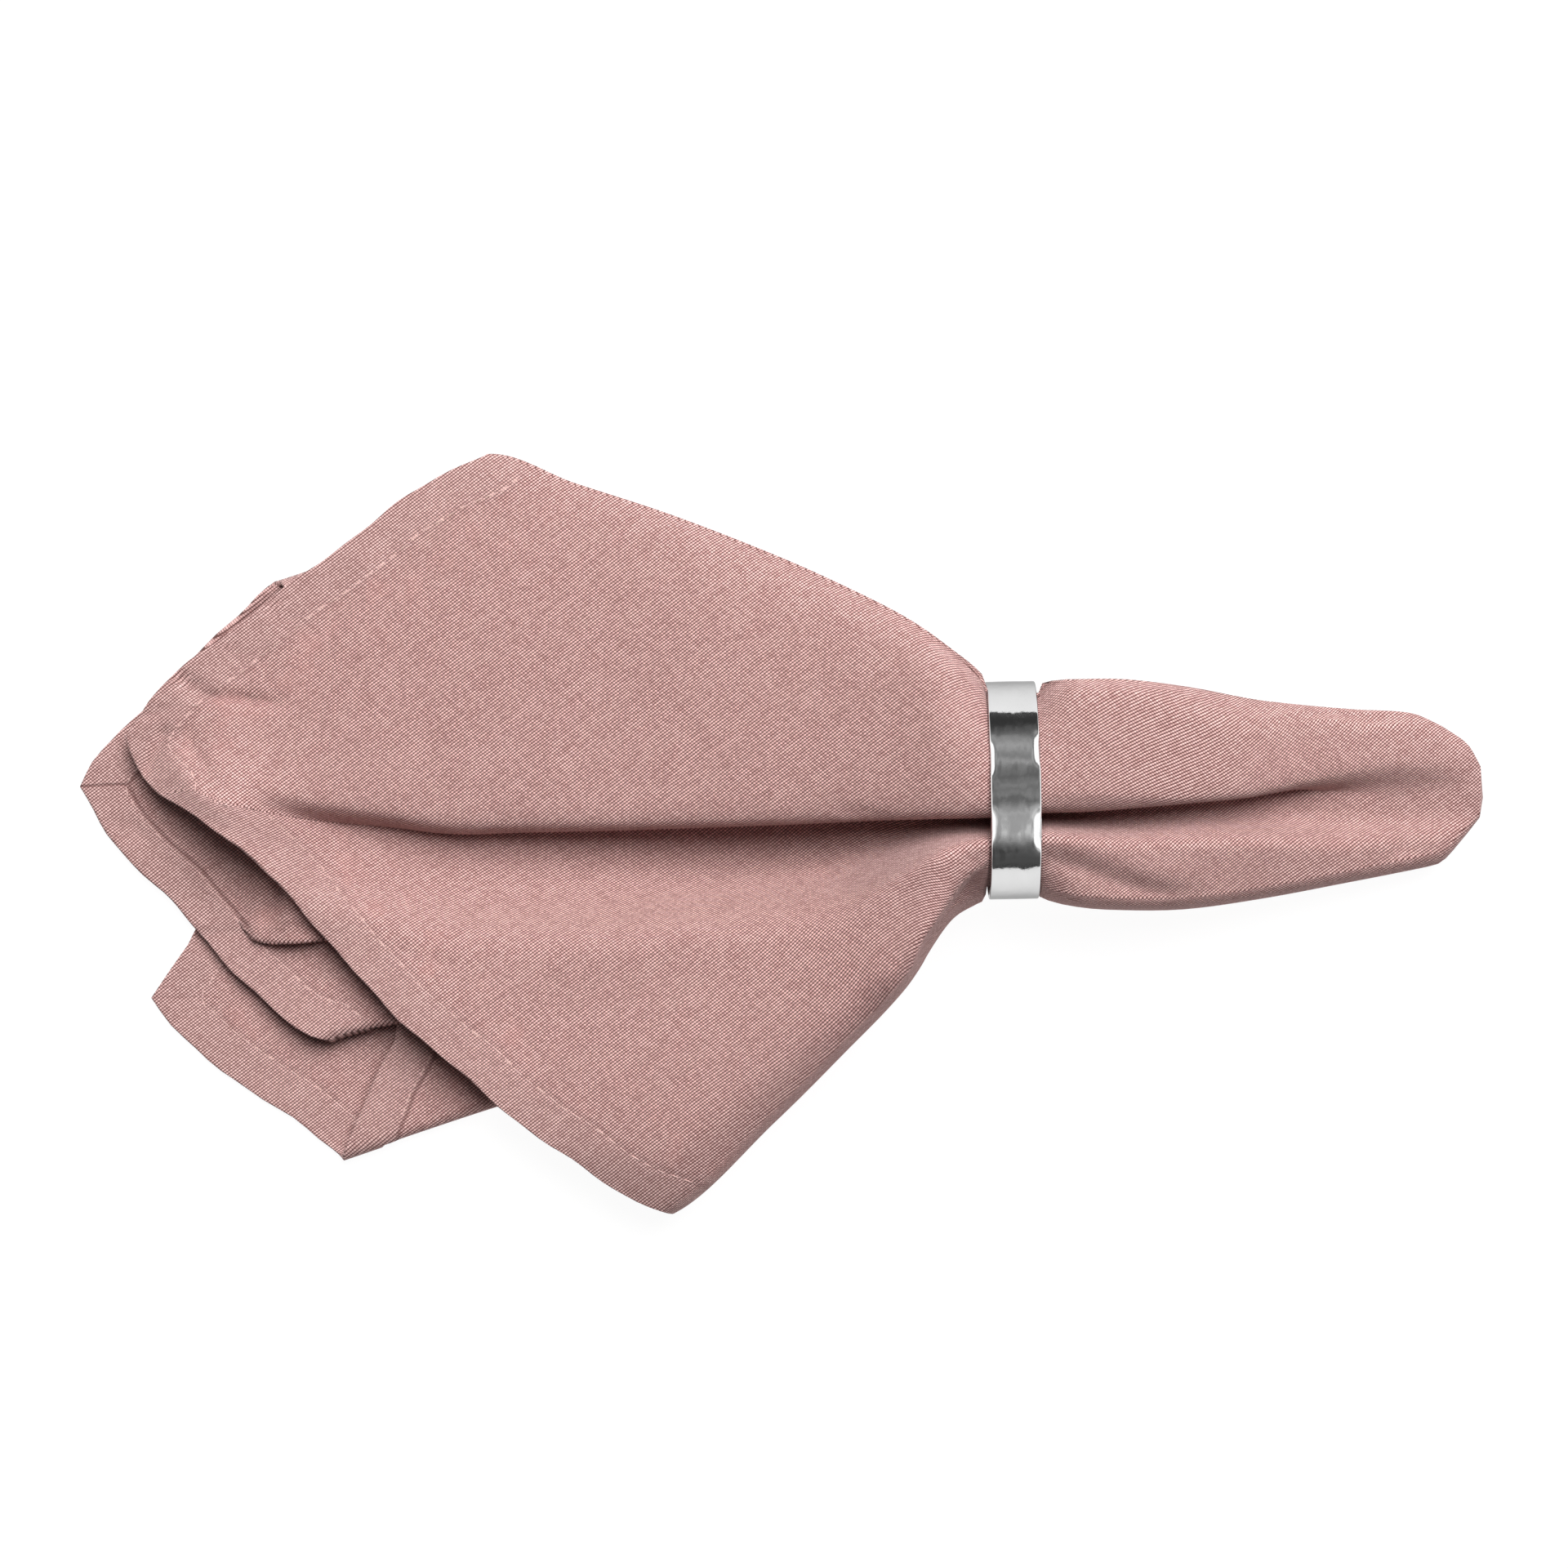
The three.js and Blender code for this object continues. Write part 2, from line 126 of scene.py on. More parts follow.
# Worked out from the sizes above
RING_CENTRE_Z = RING_OUTER_RADIUS * math.cos(math.pi / RING_SOLID_SIDES)
NECK_RADIUS = RING_OUTER_RADIUS - RING_WALL - CLOTH_TO_RING_GAP - HALF_SOLID
NECK_LEFT = RING_X - RING_BAND_WIDTH / 2 - NECK_MARGIN
NECK_RIGHT = RING_X + RING_BAND_WIDTH / 2 + NECK_MARGIN
NECK = (
    RING_Y + NECK_RADIUS * RIM_SHARE,
    RING_Y - NECK_RADIUS * RIM_SHARE,
    RING_CENTRE_Z + NECK_RADIUS,
    RING_CENTRE_Z,
    RING_CENTRE_Z - NECK_RADIUS,
)

# Where the tables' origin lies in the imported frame
RING_MIDDLE = (RING_LOW + RING_HIGH) / 2
FRAME_SHIFT = RING_MIDDLE / MM * (1, 1, 0) - (RING_X, RING_Y, 0)

# Cross sections: x, back rim, front rim, height of the crown, of the rims and of the lowest layer
SECTIONS = np.array([
    (-146, 24, -16, 4.2, 1.6, TABLE_MIDDLE),
    (-134, 36, -44, 7.5, 2.2, TABLE_MIDDLE),
    (-115, 50, -62, 11, 3, TABLE_MIDDLE),
    (-90, 67, -74, 13, 3.5, TABLE_MIDDLE),
    (-60, 77.2, -78.5, 15, 4, TABLE_MIDDLE),
    (-42, 71.2, -79, 17, 4.5, TABLE_MIDDLE),
    (-22, 64.5, -77.2, 20.5, 5, TABLE_MIDDLE),
    (-1, 56.2, -58, 25, 6.5, TABLE_MIDDLE),
    (12.5, 50, -44.4, 30, 9, TABLE_MIDDLE),
    (25, 43.4, -31, 36, 13.5, 0.6),
    (34, 37.0, -17.6, 41, 18.5, 1.2),
    (40.2, 31.9, -13.4, 42.4, 20.8, 1.5),
    (41, 29.4, -13.0, 42.2, 20.6, 1.6),
    (NECK_LEFT, *NECK),
    (NECK_RIGHT, *NECK),
    (RIGHT_BULGE, 30.2, -12.3, 42.2, 20.6, 1.6),
    (60, 30.8, -14.3, 41.2, 18, 1.0),
    (69, 30.8, -15, 38.5, 13, 0.5),
    (82, 29.4, -14.9, 33, 9.5, TABLE_MIDDLE),
    (98, 26.7, -12.8, 26.5, 8, TABLE_MIDDLE),
    (116, 25.1, -9.5, 20, 7, TABLE_MIDDLE),
    (128, 24.4, -7.2, 16.5, 6.5, TABLE_MIDDLE),
    (133.6, 22.2, -6.0, 14.4, 6.2, TABLE_MIDDLE),
    (135.4, 21.2, -5.2, 13.6, 6.2, TABLE_MIDDLE),
    (140, 18.0, 0.0, 11.5, 6, 0.8),
    (142.7, 13.8, 3.4, 8.6, 6, 3),
])
BACK, FRONT, CROWN, RIM, FLOOR = range(1, 6)

# Fold lines from the neck to the hem. "neck" and "tip" place the line in the neck and at the puffed end,
# from -1 (front) to 1 (back), "fan" has the places that it passes on its way, "corner" is where it meets
# the hem, and "rank" is its height in the stack, from 0 (table) to 1 (top). The valley has a table of its
# own.
FOLDS = {
    "front rim": {"neck": -RIM_SHARE, "tip": -RIM_SHARE, "rank": 0.5, "corner": (-22, -77.2)},
    "valley": {"rank": 1, "corner": (-126.5, 8)},
    "back rim": {"neck": RIM_SHARE, "tip": RIM_SHARE, "rank": 0.93, "corner": (-60, 77.2)},
    "inner front": {
        "neck": 0.12, "tip": 0.93, "rank": 0.81,
        "fan": [(20, 16), (-25, 18)], "corner": (-62, 20),
    },
    "second back": {
        "neck": 0.9, "tip": 0.95, "rank": 0.7,
        "fan": [(20, 42), (-25, 58), (-70, 60)], "corner": (-102.5, 51.5),
    },
    "second front": {
        "neck": -0.78, "tip": 0.93, "rank": 0.57,
        "fan": [(32, -8), (18, -18), (-35, -33), (-80, -38.8)], "corner": (-92.6, -42),
    },
    "third back": {
        "neck": 0.75, "tip": 0.95, "rank": 0.43,
        "fan": [(30, 27), (-5, 40), (-55, 50)], "corner": (-104, 41),
    },
    "flap front": {
        "neck": -0.8, "tip": 0.93, "rank": 0.27,
        "fan": [(32, -10), (19, -23.5), (-25, -46), (-57, -55.2)], "corner": (-90, -66.3),
    },
    "low back": {
        "neck": 0.86, "tip": 0.95, "rank": 0.09,
        "fan": [(30, 32), (-5, 48), (-50, 58)], "corner": (-104, 44),
    },
}

# Shares across the second layer between which its grid points lie close, for the pleat, and how the steps
# past its turn are shared out before, in and after that band
PLEAT_BAND = (0.715, 0.815)
BAND_STEPS = (0, 0.3, 0.75, 1)

# The layers of the one cloth in order round the bundle, each from its first fold line to the next layer's.
# "points" are the grid points up to the turn and past it, and "turn" is the share where the napkin's corner
# lies. "crowding" and "band" draw the points past the turn together. "hem", "corner" and "past" are the
# hem's places up to the napkin's corner, at it and past it. "edges" says which pair of the napkin's four
# edges the hem before and after the turn belongs to, and "shows" which side of the cloth is up: 1 the right
# side, -1 the wrong side. "hem_rank" gives shares across the layer and its rank at the hem there, and
# "laid_from" the grid point from which the weave is laid out, where that isn't the turn.
LAYERS = [
    {
        "name": "front lobe", "start": "front rim", "rank": 1, "points": (25, 28), "turn": 0.5, "edges": (0,),
        "shows": 1, "hem": [(-35, -71), (-57, -55), (-83, -32), (-100.4, -11.6), (-115, 1.5)],
    },
    {
        "name": "back lobe", "start": "valley", "rank": 1, "points": (22, 46), "turn": 0.252, "edges": (0, 1),
        "crowding": 1.25, "laid_from": 50, "shows": 1, "hem": [(-131.5, 13)], "corner": (-134, 20),
        "past": [(-124, 32.3), (-98.5, 52), (-72, 71.5)],
    },
    {
        "name": "tuck down", "start": "back rim", "rank": 0.86, "points": (6, 6), "turn": 0.5, "edges": (1,),
        "shows": -1, "hem": [(-66, 50)],
    },
    {
        "name": "tuck back", "start": "inner front", "rank": 0.75, "points": (6, 6), "turn": 0.5,
        "edges": (1,), "shows": 1, "hem": [(-84, 36)],
    },
    {
        "name": "second layer", "start": "second back", "rank": 0.64, "points": (20, 36), "turn": 0.5,
        "hem_rank": ((0, 0.5, 0.8, 1), (0.3, 0.16, 0.35, 0.62)), "band": PLEAT_BAND, "edges": (1, 0),
        "shows": -1, "hem": [(-107.2, 49.2), (-124, 32.6), (-139, 17.6)], "corner": (-144, 9.7),
        "past": [(-137.6, -1), (-126, -13), (-112.2, -28), (-102.2, -37.6), (-97, -41)],
    },
    {
        "name": "third layer", "start": "second front", "rank": 0.5, "points": (5, 5), "turn": 0.5,
        "hem_rank": ((0, 0.5, 1), (0.36, 0.24, 0.2)), "edges": (0,), "shows": 1, "hem": [(-114, 0)],
    },
    {
        "name": "flap", "start": "third back", "rank": 0.36, "points": (11, 11), "turn": 0.6,
        "hem_rank": ((0, 0.6, 1), (0.16, 0.4, 0.44)), "edges": (0,), "shows": -1,
        "hem": [(-102, 8), (-84, -22), (-78.3, -39.2), (-83.4, -49.6), (-85.6, -56)],
    },
    {
        "name": "low layer", "start": "flap front", "rank": 0.19, "points": (14, 12), "turn": 0.43,
        "hem_rank": ((0, 1), (0.1, 0.08)), "edges": (0, 1), "shows": 1,
        "hem": [(-100.7, -58.4), (-112.6, -50.1), (-123.3, -41.8)], "corner": (-129.4, -33.7),
        "past": [(-126.3, -28.5), (-120.2, -20), (-110, 6)],
    },
    {
        "name": "table layer", "start": "low back", "rank": 0, "points": (5, 9), "turn": 0.286,
        "edges": (1, 0), "shows": -1, "hem": [], "corner": (-112, 14), "past": [(-88, -14), (-56, -45)],
    },
]
LAYER_NAMES = [layer["name"] for layer in LAYERS]
TOP_LAYERS = ("front lobe", "back lobe")

# The valley between the top lobes: x, the y of the back lobe's edge over it, its depth, how far the back
# lobe rolls over it, how wide the hollow in front of that edge is, and how far the roll is a soft bank
# instead
VALLEY = np.array([
    (-126.5, 8.0, 0, 0, 9, 1),
    (-120, 9.0, 0, 0, 7, 1),
    (-115.4, 7.4, 0.7, 0, 7, 1),
    (-110, 5.8, 1.9, 0, 8, 1),
    (-104, 3.8, 3.6, 0.5, 10, 0.9),
    (-98, 2.3, 5.2, 0.9, 12, 0.77),
    (-91.4, 1.1, 6.8, 1.4, 13, 0.68),
    (-81, -0.1, 8.2, 1.8, 14.4, 0.58),
    (-67, -2.0, 9.4, 2.3, 15.4, 0.5),
    (-54, -1.7, 10.8, 2.8, 16, 0.44),
    (-35, -0.6, 13.4, 3.8, 16.6, 0.27),
    (-8, 1.5, 16.8, 5.2, 16.4, 0.07),
    (10.7, 2.8, 17.6, 5.4, 14.8, 0),
    (18.8, 3.2, 17.2, 5.0, 11.4, 0),
    (27.5, 3.5, 16.6, 4.4, 7, 0),
    (34, 3.7, 16.4, 3.6, 4.6, 0),
    (NECK_LEFT, 3.9, 16, 3.0, 3.4, 0),
    (NECK_RIGHT, 4.8, 16, 3.0, 3.4, 0),
    (60, 5.0, 15.4, 3.4, 4, 0),
    (71, 5.8, 14, 4.0, 5.4, 0),
    (83, 6.8, 12.4, 4.0, 6, 0),
    (95, 7.1, 10.4, 3.2, 6.4, 0.12),
    (104, 7.4, 8.4, 2.2, 7, 0.38),
    (112, 7.6, 6.8, 1.2, 8, 0.65),
    (122, 8.2, 5.0, 0, 8, 0.95),
    (130, 8.4, 4.0, 0, 8, 1),
    (136.5, 8.2, 2.4, 0, 7, 1),
    (142.7, 8.0, 0, 0, 6, 1),
])
EDGE, DEPTH, OVERHANG, HOLLOW, SOFTNESS = range(1, 6)
HOLLOW_POWER = 5.0
BACK_DIP_WIDTH = 6.0

# Section of the back lobe's roll: share of its length from the fold under it, then how far forward it is,
# below 0, as a share of the overhang, how far back as a share of its length, and its height as a share of
# the depth
ROLL = np.array([
    (0, 0, 0, -1),
    (0.12, -0.35, 0, -0.86),
    (0.25, -0.75, 0, -0.62),
    (0.35, -0.96, 0, -0.4),
    (0.42, -1.0, 0, -0.27),
    (0.49, -0.96, 0.01, -0.15),
    (0.57, -0.82, 0.05, -0.07),
    (0.69, -0.5, 0.18, -0.02),
    (0.84, -0.12, 0.55, 0),
    (1, 0, 1, 0),
])
FORWARD, BACKWARD, UP = range(1, 4)
ROLL_LENGTH = 18.0
SOFT_LENGTH = 11.0

# Low crest along the roll: its height and half width, the x where it rises and ends, and the shares of the
# roll where it starts. A valley this deep is rolled fully.
CREST_HEIGHT = 0.3
CREST_WIDTH = 16.0
CREST_RISES = (-110, -70)
CREST_ENDS = (0, 30)
CREST_STARTS = (0.3, 0.6)
ROLLED_DEPTH = 1.5

# Soft ridge across the front lobe: x, y, share of its height
RIDGE_HEIGHT = 1.5
RIDGE_HALF_WIDTH = 6.0
RIDGE_LINE = np.array([
    (-66, -26, 0),
    (-35, -22, 0.5),
    (-1, -10.5, 1),
    (30, -2, 1),
    (NECK_LEFT, 1, 0),
])

# How far the front lobe sinks at its hem, and how close to the hem that and the rank at the hem come in
HEM_SINK = 2.0
HEM_SINK_POWER = 4
HEM_RANK_POWER = 2

# Waver of the sewn edge: its size, the length over which it starts, the change of its phase past the
# napkin's corner, and each wave's length, phase and share
HEM_WAVER = 0.28
WAVER_START = 8
PAST_CORNER = 0.5
WAVER_WAVES = ((2.1, 7, 0.5), (4.7, 3, 1))

# Ripples across the hem: their distance from the edge and half width, their shift from layer to layer, and
# the distances from the valley's end over which they start. Each of the two waves has its height, its
# length, and the size and length of its sway. The quick one also has a strength, and by how much and over
# what it changes.
RIPPLE_PLACE = 5.0
RIPPLE_HALF_WIDTH = 5.0
RIPPLE_SHIFT = 31.0
RIPPLE_STARTS = (4, 16)
QUICK_RIPPLE = (0.1, 1.4, 1.6, 9.0)
QUICK_STRENGTH = (0.6, 0.4, 13.0)
SLOW_RIPPLE = (0.16, 3.3, 1.1, 17.0)

# Soft unevenness of the top lobes: its height, and each wave's length along x, along y and its phase
UNEVEN_HEIGHT = 0.14
UNEVEN_WAVES = ((9.1, 14.3, 0), (17.7, -11.9, 1.3), (6.3, 23.0, 2.1))

# Creases: their line, their height (a trough is below 0) and half width, and the shares of a line
# over which each starts and ends
CREASE_STARTS = (0, 0.25)
CREASE_ENDS = (0.7, 1)
TOP_CREASES = [
    ([(-126, 35.4), (-119.5, 29.6), (-115.8, 27.9), (-110, 27.4), (-104, 26.4), (-98, 24.6)], -1.7, 1.1),
    ([(-124.2, 23), (-126, 20), (-128, 15.3), (-130.8, 10.4)], -1.3, 1.3),
    ([(-136, 22.6), (-132, 23.8), (-127.6, 24.9), (-123, 25.4)], -0.6, 1.1),
    ([(-122.8, 23.5), (-119.6, 17), (-116, 11), (-110, 7.4)], -1.3, 2.1),
    ([(-123.6, 17), (-121.5, 13), (-118, 9)], 0.6, 2.4),
    ([(10.6, 5.9), (16, 4.6), (22.2, 3.6)], -0.7, 1.3),
    ([(37, 30.6), (34.1, 27.2), (31, 25)], -0.9, 1.7),
    ([(-24, -16.6), (-9.9, -13), (2, -9.4)], -0.9, 1.2),
    ([(49, -2.6), (60.1, -6.4), (67.8, -9.4), (77, -11.8), (86, -13)], -1.2, 2.0),
    ([(49, 1), (62, -2.6), (70, -5.6), (79, -8), (88, -9.5)], 0.9, 2.8),
    ([(123.5, -3.2), (126, -2.2), (129.6, -0.9)], -1.2, 2.6),
    ([(106, 25.8), (112, 24.3), (120, 23), (129, 24)], -1.4, 1.0),
    ([(-104.4, 48.6), (-101.8, 44.6), (-99.4, 40)], -0.55, 1.0),
    ([(-99.8, 47), (-98, 42), (-96.4, 37.4)], -0.5, 0.9),
    ([(-107.2, 40), (-104, 32.4), (-103.4, 23)], -0.5, 1.3),
    ([(-113, 40.4), (-110.6, 36.4), (-106, 34)], -0.4, 1.0),
    ([(-54.4, -36), (-52, -41), (-49, -48)], -0.5, 1.1),
    ([(-80, -22.5), (-72, -25.6), (-63, -27)], -0.5, 1.4),
    ([(-100, 0.5), (-97, -5.4), (-92.5, -10)], -0.5, 1.5),
]
SECOND_CREASES = [
    ([(-122, 34), (-116, 38.7), (-110, 43.3), (-104, 47.9), (-100.5, 50.6)], -2.4, 1.6),
    ([(-137.5, -1), (-133.5, 0.6), (-130.3, 1.7)], -0.9, 1.2),
    ([(-101, -10.5), (-103.4, -14.5), (-106.4, -19.4)], -1.5, 1.2),
    ([(-97.6, -12), (-100.2, -15.8), (-102.6, -20)], 1.3, 1.8),
]
CREASES = {"front lobe": TOP_CREASES, "back lobe": TOP_CREASES, "second layer": SECOND_CREASES}

# Soft lifts of the top lobes: x, y, height and half width
LIFTS = [
    (-115, 2, 11.2, 11),
    (-103, -10, 4.8, 12),
    (-84, -31, 1.3, 17),
    (-56, -55, 0.8, 16),
]

# Lift of the front lobe's front: its height, the shares towards the front rim where it rises and ends, and
# the distances from the neck over which it starts
FRONT_LIFT = 3.4
FRONT_RISES = (0.1, 0.75)
FRONT_ENDS = (0.78, 1)
FRONT_FROM_NECK = (4, 24)

# The front lobe's edge by the ring: its line, how high the lobe rises over it, how far the cloth past it
# sinks, how far the lobe slopes off, how wide the step is, and the shares of the line over which it starts
# and ends
LOBE_EDGE = [(21, -35.4), (25.7, -28), (28.4, -20.8), (31.6, -16.2), (36.2, -9.8), (40.4, -5.4)]
LOBE_RISE = 1.6
LOBE_SINK = 7.0
LOBE_SLOPE = 9.0
LOBE_STEP = (-0.5, 0.5)
LOBE_STARTS = (0, 0.2)
LOBE_ENDS = (0.88, 1)

# Where the hem at the tip curls down: its line, and the x, y, half length, drop and width of the curl
TIP_HEM = [(-100.4, -11.6), (-115, 1.5), (-126.5, 8), (-131.5, 13), (-134, 20)]
HEM_CURL = (-117, 1.5, 8.5, 4.0, 9.0)

# The pleat in the second layer: its line, its height, how far it rolls over, the length of the roll, how
# far the cloth above it slopes off, and the shares of the line over which it starts
PLEAT_LINE = [
    (-113.4, -17), (-110.8, -18.6), (-106, -19.8), (-101.9, -20), (-94.2, -19.4), (-84, -17.8), (-70, -15.2),
]
PLEAT_HEIGHT = 3.6
PLEAT_OVERHANG = 2.2
PLEAT_ROLL = 8.0
PLEAT_SLOPE = 11.0
PLEAT_STARTS = (0, 0.13)

# The second layer's hem is thicker on the side that shows behind this y, and thins out over this length in
# front
PLEAT_Y = -18.6
PLEAT_FADE = 2.0

# Soft lift above the pleat: x, y, height and half width
SECOND_LIFT = (-98, -16.5, 3.2, 6)

# Cloth mesh: how soft the turned hem's inner edge is, and the share of the thickness left at the outer edge
HEM_EDGE_SOFTNESS = 0.5
EDGE_THICKNESS = 0.55

# Stitches: how far they stand off the cloth, the points that a row has to pass, and the shape of a stitch
STITCH_LIFT = 0.05
SHORTEST_ROW = 3
STITCH_SEGMENTS = 6
STITCH_RINGS = 5
STITCH_UNEVEN = (0.8, 1.15)

# Hollows in the ring's edges: side along the axis, angle up from the front, half length and reach, then how
# deep they all are, where they start as a share of their reach, and how square their ends are
RING_HOLLOWS = [
    (-1, 71.0, 8.0, 1.0),
    (-1, 107.5, 9.0, 0.9),
    (1, 68.0, 10.0, 1.6),
    (1, 112.0, 8.0, 1.3),
]
RING_HOLLOW_DEPTH = 0.34
RING_HOLLOW_START = 1.35
RING_HOLLOW_POWER = 4

# Ring mesh: points round it, round an edge and across its outer face, the edges' radius, and how far the
# outer face falls off towards its edges
RING_SEGMENTS = 256
RING_BEND_POINTS = 5
RING_FACE_POINTS = 25
RING_EDGE_ROUND = 0.3
RING_CROWN = 0.02

# Weave: noise scale and size of the yarns' sway, how each yarn rounds off across and along itself, and the
# heights between which the painted shade between the yarns turns into yarn
SWAY_SCALE = 90.0
SWAY_SIZE = 0.7
WARP_ROUND = (1.1, 0.3)
WEFT_ROUND = (0.6, 0.8)
YARN_HEIGHTS = (0.16, 0.8)

# Tone of the yarns: how much slower it changes along a yarn than across, and what the yarn, its fibres and
# chance at each crossing add to it
ALONG_YARN = 0.05
YARN_SCALE = 1.0
YARN_DETAIL = 1.0
FIBRE_SCALE = 4200.0
YARN_TONE = 0.62
FIBRE_TONE = 0.35
CHANCE_TONE = 0.24
CHANCE_SHIFT = -0.055
TONE_RANGE = (0.3, 0.75)

# Darker, pinker patches just inside the hem: their noise, their strength, and the distances from the hem's
# edge where they start and end
PATCH_SCALE = 130.0
PATCH_DETAIL = 3.0
PATCH_RANGE = (0.5, 0.68)
PATCH_STRENGTH = 0.13
PATCH_STARTS = (0.007, 0.011)
PATCH_ENDS = (0.024, 0.013)

# Hem: its greyer tone, the pressed line where it is turned in and the seam at its corners, both darkened by
# painted shade and fainter on the right side, and the groove under the stitches
HEM_GREYING = 0.1
HEM_GREY_EDGE = 0.001
TURNED_LINE = (0.0006, 0.0001)
SEAM_LINE = (0.0005, 0.0001)
SEAM_END = 0.0004
RIGHT_SIDE_LINE = 0.2
# How far the pressed lines take on the painted shade, and how deep they lie in the relief
LINE_SHADE = 0.5
LINE_DEPTH = -1.5
GROOVE_LINE = (0.0008, 0.0)
GROOVE_DEPTH = -0.8

# Cotton's surface: the fibres' share of its relief, the relief's strength and depth, and how it takes the
# light
FIBRE_DEPTH = 0.25
COTTON_RELIEF = (0.7, 0.00016)
COTTON_FINISH = {
    "Roughness": 0.92,
    "Specular IOR Level": 0.15,
    "Sheen Weight": 0.12,
    "Sheen Roughness": 0.45,
    "Sheen Tint": (0.85, 0.8, 0.78, 1.0),
}

# Thread: the noise of its twist, its relief's strength and depth, and its finish
TWIST_SCALE = 2600.0
TWIST_RANGE = (0.35, 0.65)
THREAD_RELIEF = (0.4, 0.00005)
THREAD_FINISH = {"Roughness": 0.8}

# Steel: its slow swell, drawn out round the band, fine scuffs and what they do to the polish, and its
# finish
SWELL_STRETCH = (1.0, 0.45, 0.45)
SWELL_SCALE = 260.0
SCUFF_SCALE = 3200.0
SCUFF_DETAIL = 3.0
SCUFF_RANGE = (0.2, 0.9)
SMOOTHEST = 0.7
ROUGHEST = 1.6
SCUFF_DEPTH = 0.02
STEEL_RELIEF = (0.35, 0.0006)
STEEL_FINISH = {"Metallic": 1.0, "Specular Tint": (0.45, 0.45, 0.45, 1.0)}

# Studio, in metres: the floor, the light, and the camera's sensor in millimetres and furthest view
FLOOR_HALF = 6.0
FLOOR_Z = -0.0002
FLOOR_FINISH = {"Roughness": 1.0, "Specular IOR Level": 0.0, "Emission Color": (1.0, 1.0, 1.0, 1.0)}
LIGHT_SIZE = 2.3
LIGHT_PLACE = (0.44, 1.39, 2.49)
LIGHT_TURN_DEG = (-28.8, 10.0, 0.0)
SENSOR_WIDTH = 36.0
FURTHEST_VIEW = 30.0

# The room in reflections: its brightness from low to high, a lit patch at the back and one at the front,
# cloudy unevenness, and white walls at the sides. A step has its bounds, and its values where they aren't 0
# and 1.
ROOM_HEIGHT_STEP = (0.2, 0.8, 0.06, 0.22)
BACK_PATCH = ((0.25, 0.6), (0.95, 0.7))
BACK_PATCH_GLOW = 0.14
FRONT_PATCH = ((-0.15, -0.5), (-0.88, -0.65))
FRONT_PATCH_GLOW = 0.42
CLOUD_SCALE = 3.0
CLOUD_STEP = (0.35, 0.7, 0.7, 1.5)
WALL_STEP = (0.4, 0.55, 0.0, 1.4)
BACK_FILL_RANGE = (0.2, 0.9)

# Places of the sockets of Blender's Mix node for colours and its Random Value node for numbers
MIX_SHARE, MIX_FIRST, MIX_SECOND, MIX_RESULT = 0, 6, 7, 2
RANDOM_LOW, RANDOM_HIGH, RANDOM_RESULT = 2, 3, 1


def smooth(value, low, high):
    """Goes smoothly from 0 at low to 1 at high."""
    share = np.clip((value - low) / (high - low), 0, 1)
    return share * share * (3 - 2 * share)


def blend(first, second, share):
    """The value at a share of the way from the first to the second."""
    return first + (second - first) * share


def column_at(table, column, x):
    """Smooth value of one column of a table at x, by cubic steps between its rows."""
    places, values = table[:, 0], table[:, column]
    above = np.append(np.arange(1, len(places)), len(places) - 1)
    below = np.insert(np.arange(len(places) - 1), 0, 0)
    slopes = (values[above] - values[below]) / (places[above] - places[below])
    x = np.clip(x, places[0], places[-1])
    i = np.clip(np.searchsorted(places, x, side="right") - 1, 0, len(places) - 2)
    run = places[i + 1] - places[i]
    t = (x - places[i]) / run
    rise = values[i + 1] - values[i]
    leaving, arriving = slopes[i] * run, slopes[i + 1] * run
    square = 3 * rise - 2 * leaving - arriving
    cube = leaving + arriving - 2 * rise
    return values[i] + t * (leaving + t * (square + t * cube))


def smooth_line(places, steps=LINE_STEPS):
    """Close points along a smooth line through the places, with the length up to each."""
    places = np.array(places, float)
    padded = np.vstack([places[:1], places, places[-1:]])
    t = np.linspace(0, 1, steps, endpoint=False)[:, None]
    runs = []
    for a, b, c, d in zip(padded, padded[1:], padded[2:], padded[3:]):
        leaving, arriving = (c - a) / 2, (d - b) / 2
        square = 3 * (c - b) - 2 * leaving - arriving
        cube = leaving + arriving - 2 * (c - b)
        runs.append(b + t * (leaving + t * (square + t * cube)))
    points = np.vstack([*runs, places[-1:]])
    lengths = np.insert(np.cumsum(np.linalg.norm(np.diff(points, axis=0), axis=1)), 0, 0)
    return points, lengths


def along(line, share):
    """Places at shares of a smooth line's length."""
    points, lengths = line
    reach = np.asarray(share) * lengths[-1]
    return np.stack([np.interp(reach, lengths, points[:, k]) for k in range(points.shape[1])], axis=-1)


def from_line(x, y, line):
    """Distance of places from a line, the share of its length at the nearest point and their side of it."""
    points, lengths = line
    nearest = np.full(np.shape(x), np.inf)
    share = np.zeros(np.shape(x))
    side = np.zeros(np.shape(x))
    for start, end, length in zip(points, points[1:], lengths):
        run = end - start
        size = math.hypot(*run)
        t = np.clip(((x - start[0]) * run[0] + (y - start[1]) * run[1]) / size**2, 0, 1)
        off_x, off_y = x - start[0] - t * run[0], y - start[1] - t * run[1]
        distance = np.hypot(off_x, off_y)
        closer = distance < nearest
        nearest = np.where(closer, distance, nearest)
        share = np.where(closer, (length + t * size) / lengths[-1], share)
        side = np.where(closer, np.sign(run[0] * off_y - run[1] * off_x), side)
    return nearest, share, side


def waver(line, phase):
    """A line that wavers a little, as a sewn edge does, and keeps its ends."""
    points, lengths = line
    run = np.gradient(points, axis=0)
    run = run / np.maximum(np.linalg.norm(run, axis=1, keepdims=True), TINY)
    aside = np.stack([-run[:, 1], run[:, 0]], axis=1)
    sway = sum(share * np.sin(lengths / length + turn * phase) for length, turn, share in WAVER_WAVES)
    ends = np.minimum(1, np.minimum(lengths, lengths[-1] - lengths) / WAVER_START)
    return points + HEM_WAVER * (sway * ends)[:, None] * aside, lengths


